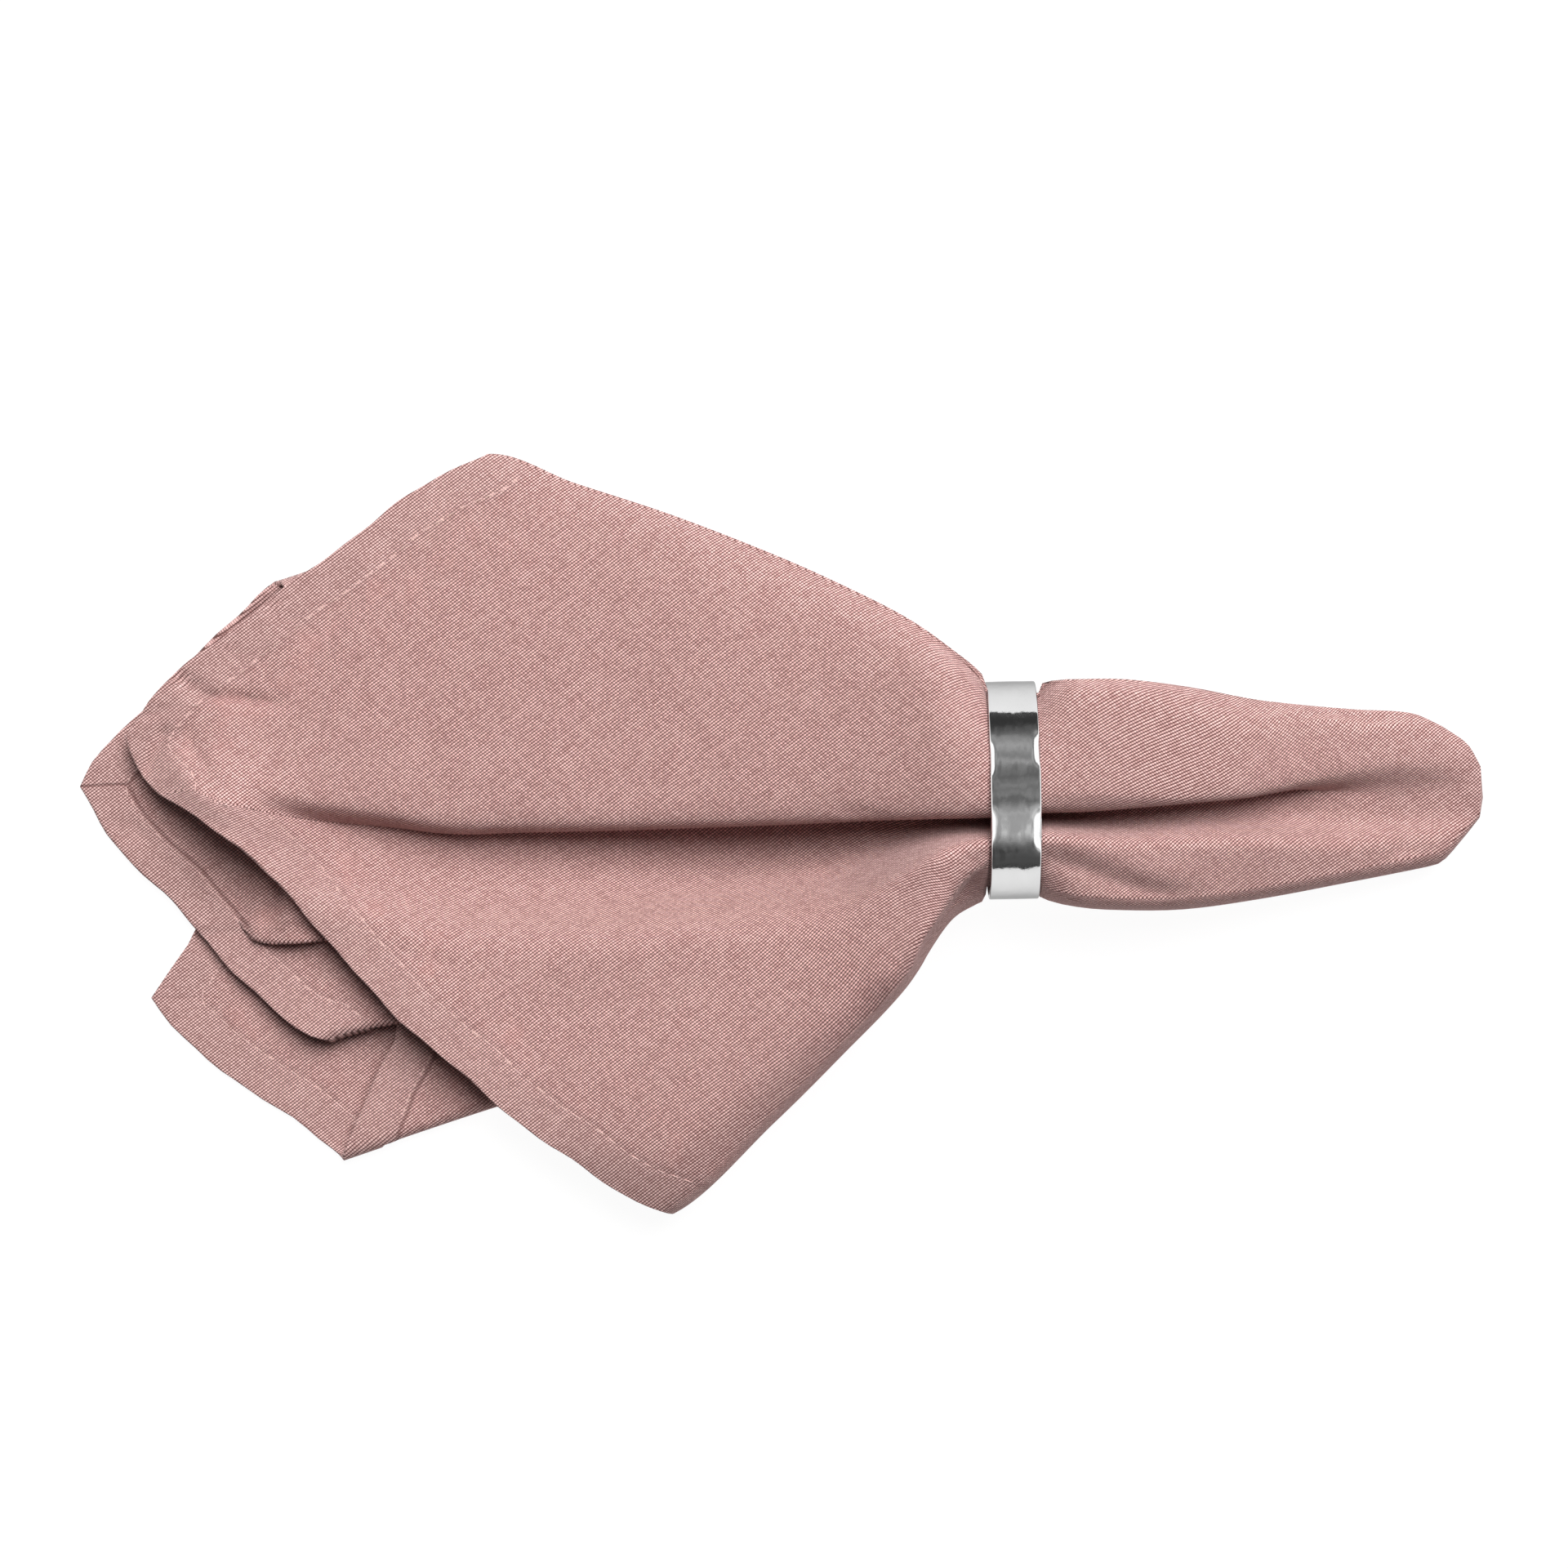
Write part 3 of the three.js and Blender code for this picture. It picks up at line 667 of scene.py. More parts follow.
def mound(x, y, at_x, at_y, half_width):
    """A soft round mound: 1 at its middle and 0 far from it."""
    return np.exp(-((x - at_x) ** 2 + (y - at_y) ** 2) / half_width**2)


def roundness(across, power):
    """Rounded half height of a section at a share across it."""
    return np.maximum(0, 1 - np.abs(across) ** power) ** (1 / power)


def across_to_y(x, across):
    """The y of a share across the bundle."""
    back, front = column_at(SECTIONS, BACK, x), column_at(SECTIONS, FRONT, x)
    return (back + front) / 2 + across / RIM_SHARE * (back - front) / 2


def valley_fold(x):
    """The y of the valley's fold, which lies under the back lobe's roll."""
    return column_at(VALLEY, EDGE, x) + column_at(VALLEY, OVERHANG, x)


def valley_dip(x, y):
    """How far the stack's top dips at the valley over a place on the table."""
    fold = valley_fold(x)
    ahead = np.maximum(fold - y, 0) / (column_at(VALLEY, HOLLOW, x) + column_at(VALLEY, OVERHANG, x))
    behind = np.maximum(y - fold, 0) / BACK_DIP_WIDTH
    return column_at(VALLEY, DEPTH, x) * np.exp(-(ahead**HOLLOW_POWER) - behind**2)


def top_share(x, across, neck):
    """How high the top lies over the rims at a share across the bundle, as a share of the crown's height."""
    fan = roundness(across, np.where(across < 0, FRONT_POWER, TOP_POWER))
    puff = np.where(across < 0, 1 + PUFF_SLOPE * across, roundness(across, PUFF_POWER))
    return blend(np.where(x > RING_X, puff, fan), roundness(across, NECK_POWER), neck)


def stack_height(x, y, rank, dip=0.0):
    """The height of a rank in the stack of layers over a place on the table."""
    back, front = column_at(SECTIONS, BACK, x), column_at(SECTIONS, FRONT, x)
    rim = column_at(SECTIONS, RIM, x)
    across = np.clip((y - (back + front) / 2) / ((back - front) / 2) * RIM_SHARE, -1, 1)
    away = np.maximum(np.maximum(NECK_LEFT - x, x - NECK_RIGHT), 0)
    neck = 1 - smooth(away, 0, np.where(x > RING_X, PUFF_FADE_LENGTH, NECK_FADE_LENGTH))
    above = column_at(SECTIONS, CROWN, x) - rim
    below = rim - column_at(SECTIONS, FLOOR, x)
    high = rim + above * top_share(x, across, neck) - dip
    low = rim - below * roundness(across, blend(UNDERSIDE_POWER, NECK_POWER, neck))
    return blend(low, high, rank)


def fold_in_fan(fold, share):
    """A fold line's places over the fan, from the neck (share 0) to its corner at the hem (share 1)."""
    if "fan" in fold:
        start = (NECK_LEFT, float(across_to_y(NECK_LEFT, fold["neck"])))
        return along(smooth_line([start, *fold["fan"], fold["corner"]]), share)
    x = blend(NECK_LEFT, fold["corner"][0], share)
    y = across_to_y(x, fold["neck"]) if "neck" in fold else valley_fold(x)
    return np.stack([x, y], axis=-1)


def fold_in_puff(fold, x):
    """A fold line's places in the neck and the puffed end, whose inner folds draw back to the back rim."""
    if "neck" not in fold:
        return np.stack([x, valley_fold(x)], axis=-1)
    puff = np.clip((x - NECK_RIGHT) / (TIP[0] - NECK_RIGHT), 0, 1)
    across = blend(fold["neck"], fold["tip"], smooth(puff, 0, INNER_FOLDS_END))
    return np.stack([x, across_to_y(x, across)], axis=-1)


def swaying_wave(reach, height, length, sway, sway_length):
    """A wave whose crests come now closer and now wider apart."""
    return height * np.sin(reach / length + sway * np.sin(reach / sway_length))


def hem_ripple(distance, reach):
    """Small uneven ripples across a sewn hem, from the distance to it and the length along it."""
    strength, change, change_length = QUICK_STRENGTH
    quick = swaying_wave(reach, *QUICK_RIPPLE) * (strength + change * np.sin(reach / change_length))
    slow = swaying_wave(reach, *SLOW_RIPPLE)
    return (quick + slow) * np.exp(-(((distance - RIPPLE_PLACE) / RIPPLE_HALF_WIDTH) ** 2))


class ClothShape:
    """The middle surface of the folded cloth as rows of points, from the hem to the puffed end."""

    def __init__(self, fold_round):
        self.fold_round = fold_round
        steps = np.arange(FAN_ROWS) / FAN_ROWS
        fan = np.append(1 - steps**FAN_CROWDING, LEFT_BULGE)
        neck_x = blend(NECK_LEFT, NECK_RIGHT, np.arange(NECK_ROWS) / NECK_ROWS)
        puff = np.sin(np.pi / 2 * np.arange(PUFF_ROWS + 1) / PUFF_ROWS) ** PUFF_CROWDING
        puff_x = np.insert(blend(NECK_RIGHT, SECTIONS[-1, 0], puff), 1, RIGHT_BULGE)
        tail_x = np.concatenate([neck_x, puff_x])
        self.hem_share = np.append(fan, np.zeros(len(tail_x)))
        self.folds = {
            name: np.vstack([fold_in_fan(fold, fan), fold_in_puff(fold, tail_x)])
            for name, fold in FOLDS.items()
        }
        self.build()

    def next_start(self, i):
        """The fold line where a layer ends."""
        return LAYERS[(i + 1) % len(LAYERS)]["start"]

    def hem_lines(self, i):
        """The hem of a layer, in one line or in two that meet at the napkin's corner."""
        layer = LAYERS[i]
        start, end = FOLDS[layer["start"]]["corner"], FOLDS[self.next_start(i)]["corner"]
        if "corner" not in layer:
            return [waver(smooth_line([start, *layer["hem"], end]), i)]
        return [
            waver(smooth_line([start, *layer["hem"], layer["corner"]]), i),
            waver(smooth_line([layer["corner"], *layer["past"], end]), i + PAST_CORNER),
        ]

    def shares_across(self, i, width):
        """Shares across a layer of its grid points: crowded at both folds, with one at the turn."""
        layer = LAYERS[i]
        angles = np.pi / 2 * np.arange(1, EDGE_POINTS + 1) / EDGE_POINTS
        reach = np.minimum(self.fold_round / np.maximum(width, TINY), WIDEST_ROUND_SHARE)[:, None]
        edge = reach * (1 - np.cos(angles))[None]
        before, after = layer["points"]
        up = blend(reach, layer["turn"], np.arange(1, before + 1)[None] / before)
        steps = (np.arange(1, after + 1)[None] / after) ** layer.get("crowding", 1)
        if "band" in layer:
            low, high = ((share - layer["turn"]) / (1 - layer["turn"]) for share in layer["band"])
            steps = np.interp(steps, BAND_STEPS, (0, low, high, 1))
        down = blend(layer["turn"], 1 - reach, steps)
        shares = np.hstack([edge, up, down, 1 - edge[:, -2::-1]])
        hold = np.concatenate([np.sin(angles), np.ones(before + after), np.sin(angles)[-2::-1]])
        return shares, hold

    def hem_places(self, i, shares):
        """Where the grid points of a layer meet the hem."""
        lines = self.hem_lines(i)
        if len(lines) == 1:
            return along(lines[0], shares)
        turn = LAYERS[i]["turn"]
        before = along(lines[0], np.clip(shares / turn, 0, 1))
        after = along(lines[1], np.clip((shares - turn) / (1 - turn), 0, 1))
        return np.where((shares <= turn)[..., None], before, after)

    def relief(self, name, x, y):
        """Height of the creases, lifts and soft unevenness on a layer."""
        total = np.zeros(np.shape(x))
        for places, height, half_width in CREASES.get(name, ()):
            distance, share, _ = from_line(x, y, smooth_line(places, CREASE_STEPS))
            ends = smooth(share, *CREASE_STARTS) * (1 - smooth(share, *CREASE_ENDS))
            total += height * np.exp(-((distance / half_width) ** 2)) * ends
        if name in TOP_LAYERS:
            for at_x, at_y, height, half_width in LIFTS:
                total += height * mound(x, y, at_x, at_y, half_width)
            waves = sum(np.sin(x / along_x + y / along_y + phase) for along_x, along_y, phase in UNEVEN_WAVES)
            total += UNEVEN_HEIGHT * waves
        return total

    def roll_over(self, x, y):
        """The back lobe's y once it rolls over the valley, and how far below or above its top it lies."""
        edge, overhang = column_at(VALLEY, EDGE, x), column_at(VALLEY, OVERHANG, x)
        away = y - edge - overhang
        softness = column_at(VALLEY, SOFTNESS, x)
        length = blend(ROLL_LENGTH, SOFT_LENGTH, softness)
        share = np.clip(away / length, 0, 1)
        back = blend(column_at(ROLL, BACKWARD, share), share, softness)
        moved = column_at(ROLL, FORWARD, share) * overhang + back * length
        beyond = np.maximum(away - length, 0)
        crest = CREST_HEIGHT * smooth(x, *CREST_RISES) * (1 - smooth(x, *CREST_ENDS))
        crest = crest * smooth(share, *CREST_STARTS) * np.exp(-((away / CREST_WIDTH) ** 2))
        depth = column_at(VALLEY, DEPTH, x)
        y = blend(y, edge + overhang + moved + beyond, smooth(depth, 0, ROLLED_DEPTH))
        return y, column_at(ROLL, UP, share) * depth + crest

    def pleat(self, x, y):
        """The second layer's y once it rolls over its pleat, and how far it is lifted."""
        distance, share, side = from_line(x, y, smooth_line(PLEAT_LINE, EDGE_STEPS))
        above = np.maximum(side * distance, 0)
        size = smooth(share, *PLEAT_STARTS) * (side > 0)
        t = np.clip(above / PLEAT_ROLL, 0, 1)
        moved = column_at(ROLL, FORWARD, t) * PLEAT_OVERHANG + (column_at(ROLL, BACKWARD, t) - t) * PLEAT_ROLL
        lift = PLEAT_HEIGHT * (np.exp(-above / PLEAT_SLOPE) + column_at(ROLL, UP, t))
        at_x, at_y, height, half_width = SECOND_LIFT
        rise = height * mound(x, y, at_x, at_y, half_width)
        return y + moved * size, (lift + rise) * size

    def lobe_edge(self, x, y):
        """How far the front lobe rises over its edge by the ring, and the cloth past that edge sinks."""
        distance, share, side = from_line(x, y, smooth_line(LOBE_EDGE, EDGE_STEPS))
        inside = side * distance
        rise = LOBE_RISE * np.exp(-np.maximum(inside, 0) / LOBE_SLOPE)
        ends = smooth(share, *LOBE_STARTS) * (1 - smooth(share, *LOBE_ENDS))
        return blend(-LOBE_SINK, rise, smooth(inside, *LOBE_STEP)) * ends

    def lay(self, name, x, y, rank):
        """Where a layer's points lie across the bundle and how high, before its creases."""
        if name == "back lobe":
            y, lift = self.roll_over(x, y)
            return y, stack_height(x, y, rank) + lift
        lift = 0.0
        if name == "second layer":
            y, lift = self.pleat(x, y)
        if name == "front lobe":
            lift = self.lobe_edge(x, y)
        return y, stack_height(x, y, rank, valley_dip(x, y)) + lift

    def front_rise(self, x, y):
        """How far the front lobe rises along its front and in its soft ridge."""
        middle = across_to_y(x, 0)
        across = -(y - middle) / (across_to_y(x, RIM_SHARE) - middle)
        rise = smooth(across, *FRONT_RISES) * (1 - smooth(across, *FRONT_ENDS))
        rise = rise * smooth(NECK_LEFT - x, *FRONT_FROM_NECK)
        from_ridge = (y - column_at(RIDGE_LINE, 1, x)) / RIDGE_HALF_WIDTH
        ridge = RIDGE_HEIGHT * column_at(RIDGE_LINE, 2, x) * np.exp(-(from_ridge**2))
        return FRONT_LIFT * rise + ridge

    def tip_curl(self, x, y):
        """How far the top lobes' hem curls down at the tip."""
        at_x, at_y, half_length, drop, width = HEM_CURL
        distance, _, _ = from_line(x, y, smooth_line(TIP_HEM, CREASE_STEPS))
        return drop * mound(x, y, at_x, at_y, half_length) * (1 - smooth(distance, 0, width))

    def layer_run(self, i):
        """The points of one layer in every row, before its folds are rounded."""
        layer = LAYERS[i]
        name = layer["name"]
        first, last = self.folds[layer["start"]], self.folds[self.next_start(i)]
        width = np.linalg.norm(last - first, axis=1)
        shares, hold = self.shares_across(i, width)
        corners = np.array([FOLDS[layer["start"]]["corner"], FOLDS[self.next_start(i)]["corner"]], float)
        reach = self.hem_places(i, shares) - blend(corners[0], corners[1], shares[..., None])
        place = blend(first[:, None], last[:, None], shares[..., None])
        place = place + reach * self.hem_share[:, None, None]
        x, y = place[..., 0], place[..., 1]
        at_hem = np.interp(shares, *layer.get("hem_rank", ((0, 1), (layer["rank"],) * 2)))
        rank = blend(layer["rank"], at_hem, self.hem_share[:, None] ** HEM_RANK_POWER)
        y, z = self.lay(name, x, y, rank)
        plain = np.stack([x, y, z], axis=-1)
        z = z + self.relief(name, x, y)
        if name == "front lobe":
            sink = HEM_SINK * self.hem_share[:, None] ** HEM_SINK_POWER * (1 - shares)
            z = z + self.front_rise(x, y) - sink
        level = np.ones(len(width))
        if layer["rank"] not in (0, 1):
            level = smooth(width, STEEP_WIDTH, LEVEL_WIDTH)
        edges = np.full((*x.shape, 2), FAR)
        ripple = np.zeros(x.shape)
        for edge, line in zip(layer["edges"], self.hem_lines(i)):
            distance, share, _ = from_line(x, y, line)
            edges[..., edge] = np.minimum(distance, FAR)
            ripple += hem_ripple(distance, share * line[1][-1] + RIPPLE_SHIFT * i)
        if name in TOP_LAYERS:
            z = z - self.tip_curl(x, y)
            end_x, end_y = FOLDS["valley"]["corner"]
            ripple = ripple * smooth(np.hypot(x - end_x, y - end_y), *RIPPLE_STARTS)
        return {
            "points": np.stack([x, y, z + ripple], axis=-1), "plain": plain, "edges": edges,
            "shares": shares, "hold": hold, "level": level,
        }

    def build(self):
        """Joins the layers' runs at their rounded folds into rows of points round the bundle."""
        count = len(LAYERS)
        runs = [self.layer_run(i) for i in range(count)]
        folds = []
        for layer in LAYERS:
            x, y = self.folds[layer["start"]].T
            folds.append(np.stack([x, y, stack_height(x, y, FOLDS[layer["start"]]["rank"])], axis=-1))
        for i, run in enumerate(runs):
            straight = blend(folds[i][:, None], folds[(i + 1) % count][:, None], run["shares"][..., None])
            run["points"] = blend(straight, run["points"], run["level"][:, None, None])
        for i, layer in enumerate(LAYERS):
            before, after = runs[i - 1], runs[i]
            if layer["start"] == "valley":
                folds[i][:, 2] = (before["points"][:, -1, 2] + after["points"][:, 0, 2]) / 2
                continue
            halfway = (before["points"][:, -EDGE_POINTS, 2] + after["points"][:, EDGE_POINTS - 1, 2]) / 2
            folds[i][:, 2] = blend(folds[i][:, 2], halfway, np.minimum(before["level"], after["level"]))
        points, plain, edges, self.columns = [], [], [], []
        at = 0
        for i, run in enumerate(runs):
            body = run["points"]
            steps = len(run["hold"])
            hold = np.where(np.arange(steps) < steps / 2, run["hold"], 1.0)
            if LAYERS[i]["start"] == "valley":
                hold = np.ones(steps)
            body[..., 2] = blend(folds[i][:, None, 2], body[..., 2], hold)
            hold = np.where(np.arange(steps) >= steps / 2, run["hold"], 1.0)
            if self.next_start(i) == "valley":
                hold = np.ones(steps)
            body[..., 2] = blend(folds[(i + 1) % count][:, None, 2], body[..., 2], hold)
            points += [folds[i][:, None], body]
            plain += [run["plain"][:, :1], run["plain"]]
            edges += [run["edges"][:, :1], run["edges"]]
            self.columns.append((at, at + 1 + steps))
            at += 1 + steps
        self.points = np.concatenate(points, axis=1)
        self.plain = np.concatenate(plain, axis=1)
        self.edges = np.concatenate(edges, axis=1)

    def yarn_places(self):
        """Places on the flat cloth at the start and at the end of each grid step round the bundle.

        Each layer is laid flat from its middle, so the places jump at the folds.
        """
        starts, ends = [], []
        around = self.plain.shape[1]
        for i, (start, end) in enumerate(self.columns):
            layer = LAYERS[i]
            body = self.plain[:, np.arange(start, end + 1) % around]
            body[:, -1] = body[:, -2]
            body[:, -1, 1] += self.points[:, end % around, 1] - self.points[:, end - 1, 1]
            body[:, 0, 1] += self.points[:, start, 1] - self.points[:, start + 1, 1]
            step = np.linalg.norm(np.diff(body[..., 1:], axis=1), axis=2)
            folded = self.points[:, np.arange(start, end + 1) % around]
            over = np.linalg.norm(np.diff(folded[..., 1:], axis=1), axis=2)
            if layer["start"] != "valley":
                step[:, :EDGE_POINTS] = over[:, :EDGE_POINTS]
            if self.next_start(i) != "valley":
                step[:, -EDGE_POINTS:] = over[:, -EDGE_POINTS:]
            reach = np.hstack([np.zeros((len(step), 1)), np.cumsum(step, axis=1)])
            middle = layer.get("laid_from", 1 + EDGE_POINTS + layer["points"][0])
            flat = layer["shows"] * (reach - reach[:, middle:middle + 1]) + body[:, middle:middle + 1, 1]
            if "band" in layer:
                flat = body[..., 1]
            if layer["name"] in TOP_LAYERS:
                fold = slice(0, 1) if layer["start"] == "valley" else slice(-1, None)
                joined = reach - reach[:, fold] + body[:, fold, 1]
                flat = blend(flat, joined, smooth(body[:, fold, 0], *JOINED_WEAVE))
            places = np.stack([body[..., 0], flat], axis=-1)
            starts.append(places[:, :-1])
            ends.append(places[:, 1:])
        return np.concatenate(starts, axis=1), np.concatenate(ends, axis=1)

    def hem_distances(self):
        """Distances to the napkin's edges at the start and at the end of each grid step round the bundle."""
        ends = np.roll(self.edges, -1, axis=1)
        for _, end in self.columns:
            ends[:, end - 1] = self.edges[:, end - 1]
        return self.edges, ends


def surface_normals(points):
    """Outward normals of rows of points that close round the bundle."""
    round_step = np.roll(points, -1, axis=1) - np.roll(points, 1, axis=1)
    row_step = np.gradient(points, axis=0)
    normals = np.cross(row_step, round_step)
    return normals / np.maximum(np.linalg.norm(normals, axis=2, keepdims=True), TINY)


def sheet_faces(rows, around):
    """Faces of the closed cloth: its right side, its wrong side, the rim along the hem and both poles."""
    count = rows * around
    row, column = np.meshgrid(np.arange(rows - 1), np.arange(around), indexing="ij")
    a, b = row * around + column, row * around + (column + 1) % around
    c, d = b + around, a + around
    right = np.stack([a, d, c, b], axis=-1).reshape(-1, 4)
    wrong = np.stack([a, b, c, d], axis=-1).reshape(-1, 4) + count
    here = np.arange(around)
    ahead = (here + 1) % around
    rim = np.stack([here + count, here, ahead, ahead + count], axis=-1)
    last = (rows - 1) * around
    tip_right = np.stack([ahead + last, here + last, np.full(around, 2 * count)], axis=-1)
    last += count
    tip_wrong = np.stack([here + last, ahead + last, np.full(around, 2 * count + 1)], axis=-1)
    return [face for part in (right, wrong, rim, tip_right, tip_wrong) for face in part.tolist()]


def cloth_mesh(shape, sizes):
    """Closed mesh of the cloth: both faces of the sheet, a pole at the puffed end and a rim along the hem."""
    points = shape.points
    rows, around, _ = points.shape
    normals = surface_normals(points)
    half, hem_width = sizes.thickness / MM / 2, sizes.hem_width / MM
    start, end = shape.columns[LAYER_NAMES.index("second layer")]
    faced = np.ones((rows, around))
    faced[:, start:end] = smooth(points[:, start:end, 1], PLEAT_Y - PLEAT_FADE, PLEAT_Y)
    hem = shape.edges.min(axis=2)
    turned = 1 - smooth(hem, hem_width - HEM_EDGE_SOFTNESS, hem_width + HEM_EDGE_SOFTNESS)
    right_lift = np.full((rows, around), half)
    wrong_lift = half + turned * faced * sizes.hem_fold / MM
    for lift in (right_lift, wrong_lift):
        lift[0] *= EDGE_THICKNESS
    right = points + normals * right_lift[..., None]
    wrong = points - normals * wrong_lift[..., None]
    poles = np.array([TIP + (half, 0, 0), TIP - (half, 0, 0)])
    vertices = np.vstack([right.reshape(-1, 3), wrong.reshape(-1, 3), poles])
    vertices[:, 2] = np.maximum(vertices[:, 2], 0)
    mesh = bpy.data.meshes.new("napkin_cloth")
    mesh.from_pydata(((vertices + FRAME_SHIFT) * MM).tolist(), [], sheet_faces(rows, around))
    mesh.shade_smooth()

    angles = np.radians((sizes.warp_angle, sizes.weft_angle))
    across_yarns = np.array([np.sin(angles), -np.cos(angles)])
    give_uv(mesh, "yarns", *(places @ across_yarns * MM for places in shape.yarn_places()))
    give_uv(mesh, "hems", *(distances * MM for distances in shape.hem_distances()))
    side = np.concatenate([np.zeros(faced.size), faced.ravel(), (0, 1)])
    wrong_side = mesh.attributes.new("wrong_side", "FLOAT", "POINT")
    wrong_side.data.foreach_set("value", side.astype(np.float32))
    return mesh


def give_uv(mesh, name, starts, ends):
    """Gives the cloth a UV map from the places at both ends of each grid step, in the order of its faces."""
    right = np.stack([starts[:-1], starts[1:], ends[1:], ends[:-1]], axis=2)
    wrong = np.stack([starts[:-1], ends[:-1], ends[1:], starts[1:]], axis=2)
    rim = np.stack([starts[0], starts[0], ends[0], ends[0]], axis=1)
    pole = np.broadcast_to(starts[-1].mean(axis=0), starts[-1].shape)
    tip_right = np.stack([ends[-1], starts[-1], pole], axis=1)
    tip_wrong = np.stack([starts[-1], ends[-1], pole], axis=1)
    corners = np.concatenate([part.reshape(-1, 2) for part in (right, wrong, rim, tip_right, tip_wrong)])
    layer = mesh.uv_layers.new(name=name)
    layer.data.foreach_set("uv", corners.astype(np.float32).ravel())


def add_object(name, mesh):
    """Puts a mesh in the scene as a new object."""
    piece = bpy.data.objects.new(name, mesh)
    bpy.context.scene.collection.objects.link(piece)
    return piece


class NodeMaker:
    """Short ways to add and join nodes in one tree."""

    def __init__(self, tree):
        self.tree = tree

    def add(self, kind, inputs=None, **settings):
        """Adds a node, sets it and joins or sets its inputs."""
        node = self.tree.nodes.new(kind)
        for name, value in settings.items():
            setattr(node, name, value)
        for key, value in (inputs or {}).items():
            self.put(value, node.inputs[key])
        return node

    def put(self, value, socket):
        """Joins a socket to an input, or sets the input's value."""
        if isinstance(value, bpy.types.NodeSocket):
            self.tree.links.new(value, socket)
        else:
            socket.default_value = value

    def math(self, operation, *values):
        """One step of arithmetic on one, two or three values."""
        return self.add("ShaderNodeMath", dict(enumerate(values)), operation=operation).outputs[0]

    def times(self, first, second):
        """The product of two values."""
        return self.math("MULTIPLY", first, second)

    def scaled(self, value, factor, plus):
        """A value times a factor, plus another value."""
        return self.math("MULTIPLY_ADD", value, factor, plus)

    def apart(self, first, second):
        """How far two values are apart."""
        return self.math("ABSOLUTE", self.math("SUBTRACT", first, second))

    def split(self, vector):
        """The three parts of a vector."""
        return tuple(self.add("ShaderNodeSeparateXYZ", {0: vector}).outputs)

    def join(self, *parts):
        """A vector of up to three parts."""
        return self.add("ShaderNodeCombineXYZ", dict(enumerate(parts))).outputs[0]

    def step(self, value, low, high, to_low=0.0, to_high=1.0):
        """A smooth step of a value between two bounds."""
        inputs = {"Value": value, "From Min": low, "From Max": high, "To Min": to_low, "To Max": to_high}
        return self.add("ShaderNodeMapRange", inputs, interpolation_type="SMOOTHSTEP").outputs[0]

    def mix(self, share, first, second):
        """A mix of two colours."""
        inputs = {MIX_SHARE: share, MIX_FIRST: first, MIX_SECOND: second}
        return self.add("ShaderNodeMix", inputs, data_type="RGBA").outputs[MIX_RESULT]

    def noise(self, vector, scale, detail=2.0):
        """Even noise from 0 to 1 at a scale."""
        return self.add("ShaderNodeTexNoise", {"Vector": vector, "Scale": scale, "Detail": detail}).outputs[0]

    def bump(self, height, strength, distance):
        """The normals of a surface with these heights on it."""
        inputs = {"Height": height, "Strength": strength, "Distance": distance}
        return self.add("ShaderNodeBump", inputs).outputs[0]


def new_material(name, finish):
    """A new material with its node maker and its shader, which gets a finish."""
    material = bpy.data.materials.new(name)
    material.use_nodes = True
    shader = material.node_tree.nodes["Principled BSDF"]
    for socket, value in finish.items():
        shader.inputs[socket].default_value = value
    return material, NodeMaker(material.node_tree), shader


def upper_yarn(maker, warp_on_top, of_warp, of_weft):
    """The value of the yarn that lies on top."""
    under = maker.math("SUBTRACT", 1.0, warp_on_top)
    return maker.scaled(of_warp, warp_on_top, maker.times(of_weft, under))


def weave_height(maker, warp, weft):
    """Where the warp lies on top in a plain weave, and the height of the yarn on top."""
    warp_wave, weft_wave = (maker.math("COSINE", maker.times(yarn, math.pi)) for yarn in (warp, weft))
    warp_on_top = maker.math("GREATER_THAN", maker.times(warp_wave, weft_wave), 0.0)
    warp_size, weft_size = (maker.math("ABSOLUTE", wave) for wave in (warp_wave, weft_wave))
    floats = []
    for waves, powers in (((warp_size, weft_size), WARP_ROUND), ((weft_size, warp_size), WEFT_ROUND)):
        sides = (maker.math("POWER", size, power) for size, power in zip(waves, powers))
        floats.append(maker.times(*sides))
    return warp_on_top, upper_yarn(maker, warp_on_top, *floats)


def weave_tone(maker, warp, weft, warp_on_top, fibre):
    """Light and dull places: thick and thin ones along each yarn, chance at each crossing, and fibres."""
    warp_tone = maker.noise(maker.join(warp, maker.times(weft, ALONG_YARN)), YARN_SCALE, YARN_DETAIL)
    weft_tone = maker.noise(maker.join(maker.times(warp, ALONG_YARN), weft), YARN_SCALE, YARN_DETAIL)
    yarn = maker.times(upper_yarn(maker, warp_on_top, warp_tone, weft_tone), YARN_TONE)
    crossing = maker.join(maker.math("ROUND", warp), maker.math("ROUND", weft))
    chance = maker.add("ShaderNodeTexWhiteNoise", {"Vector": crossing}, noise_dimensions="2D")
    uneven = maker.scaled(chance.outputs["Value"], CHANCE_TONE, CHANCE_SHIFT)
    return maker.math("ADD", uneven, maker.scaled(fibre, FIBRE_TONE, yarn))


def pressed_and_shaded_lines(maker, first, second, hem, sizes):
    """The line where the hem is turned in and the seam at its corners, which show most on the wrong side;
    both get painted shade and a groove.
    """
    turned = maker.step(maker.apart(hem, sizes.hem_width), *TURNED_LINE)
    corner = maker.step(maker.apart(first, second), *SEAM_LINE)
    seam = maker.times(corner, maker.step(hem, sizes.hem_width, sizes.hem_width - SEAM_END))
    wrong_side = maker.add("ShaderNodeAttribute", attribute_name="wrong_side").outputs["Fac"]
    pressed = maker.scaled(wrong_side, 1 - RIGHT_SIDE_LINE, RIGHT_SIDE_LINE)
    return maker.times(maker.math("MAXIMUM", turned, seam), pressed)


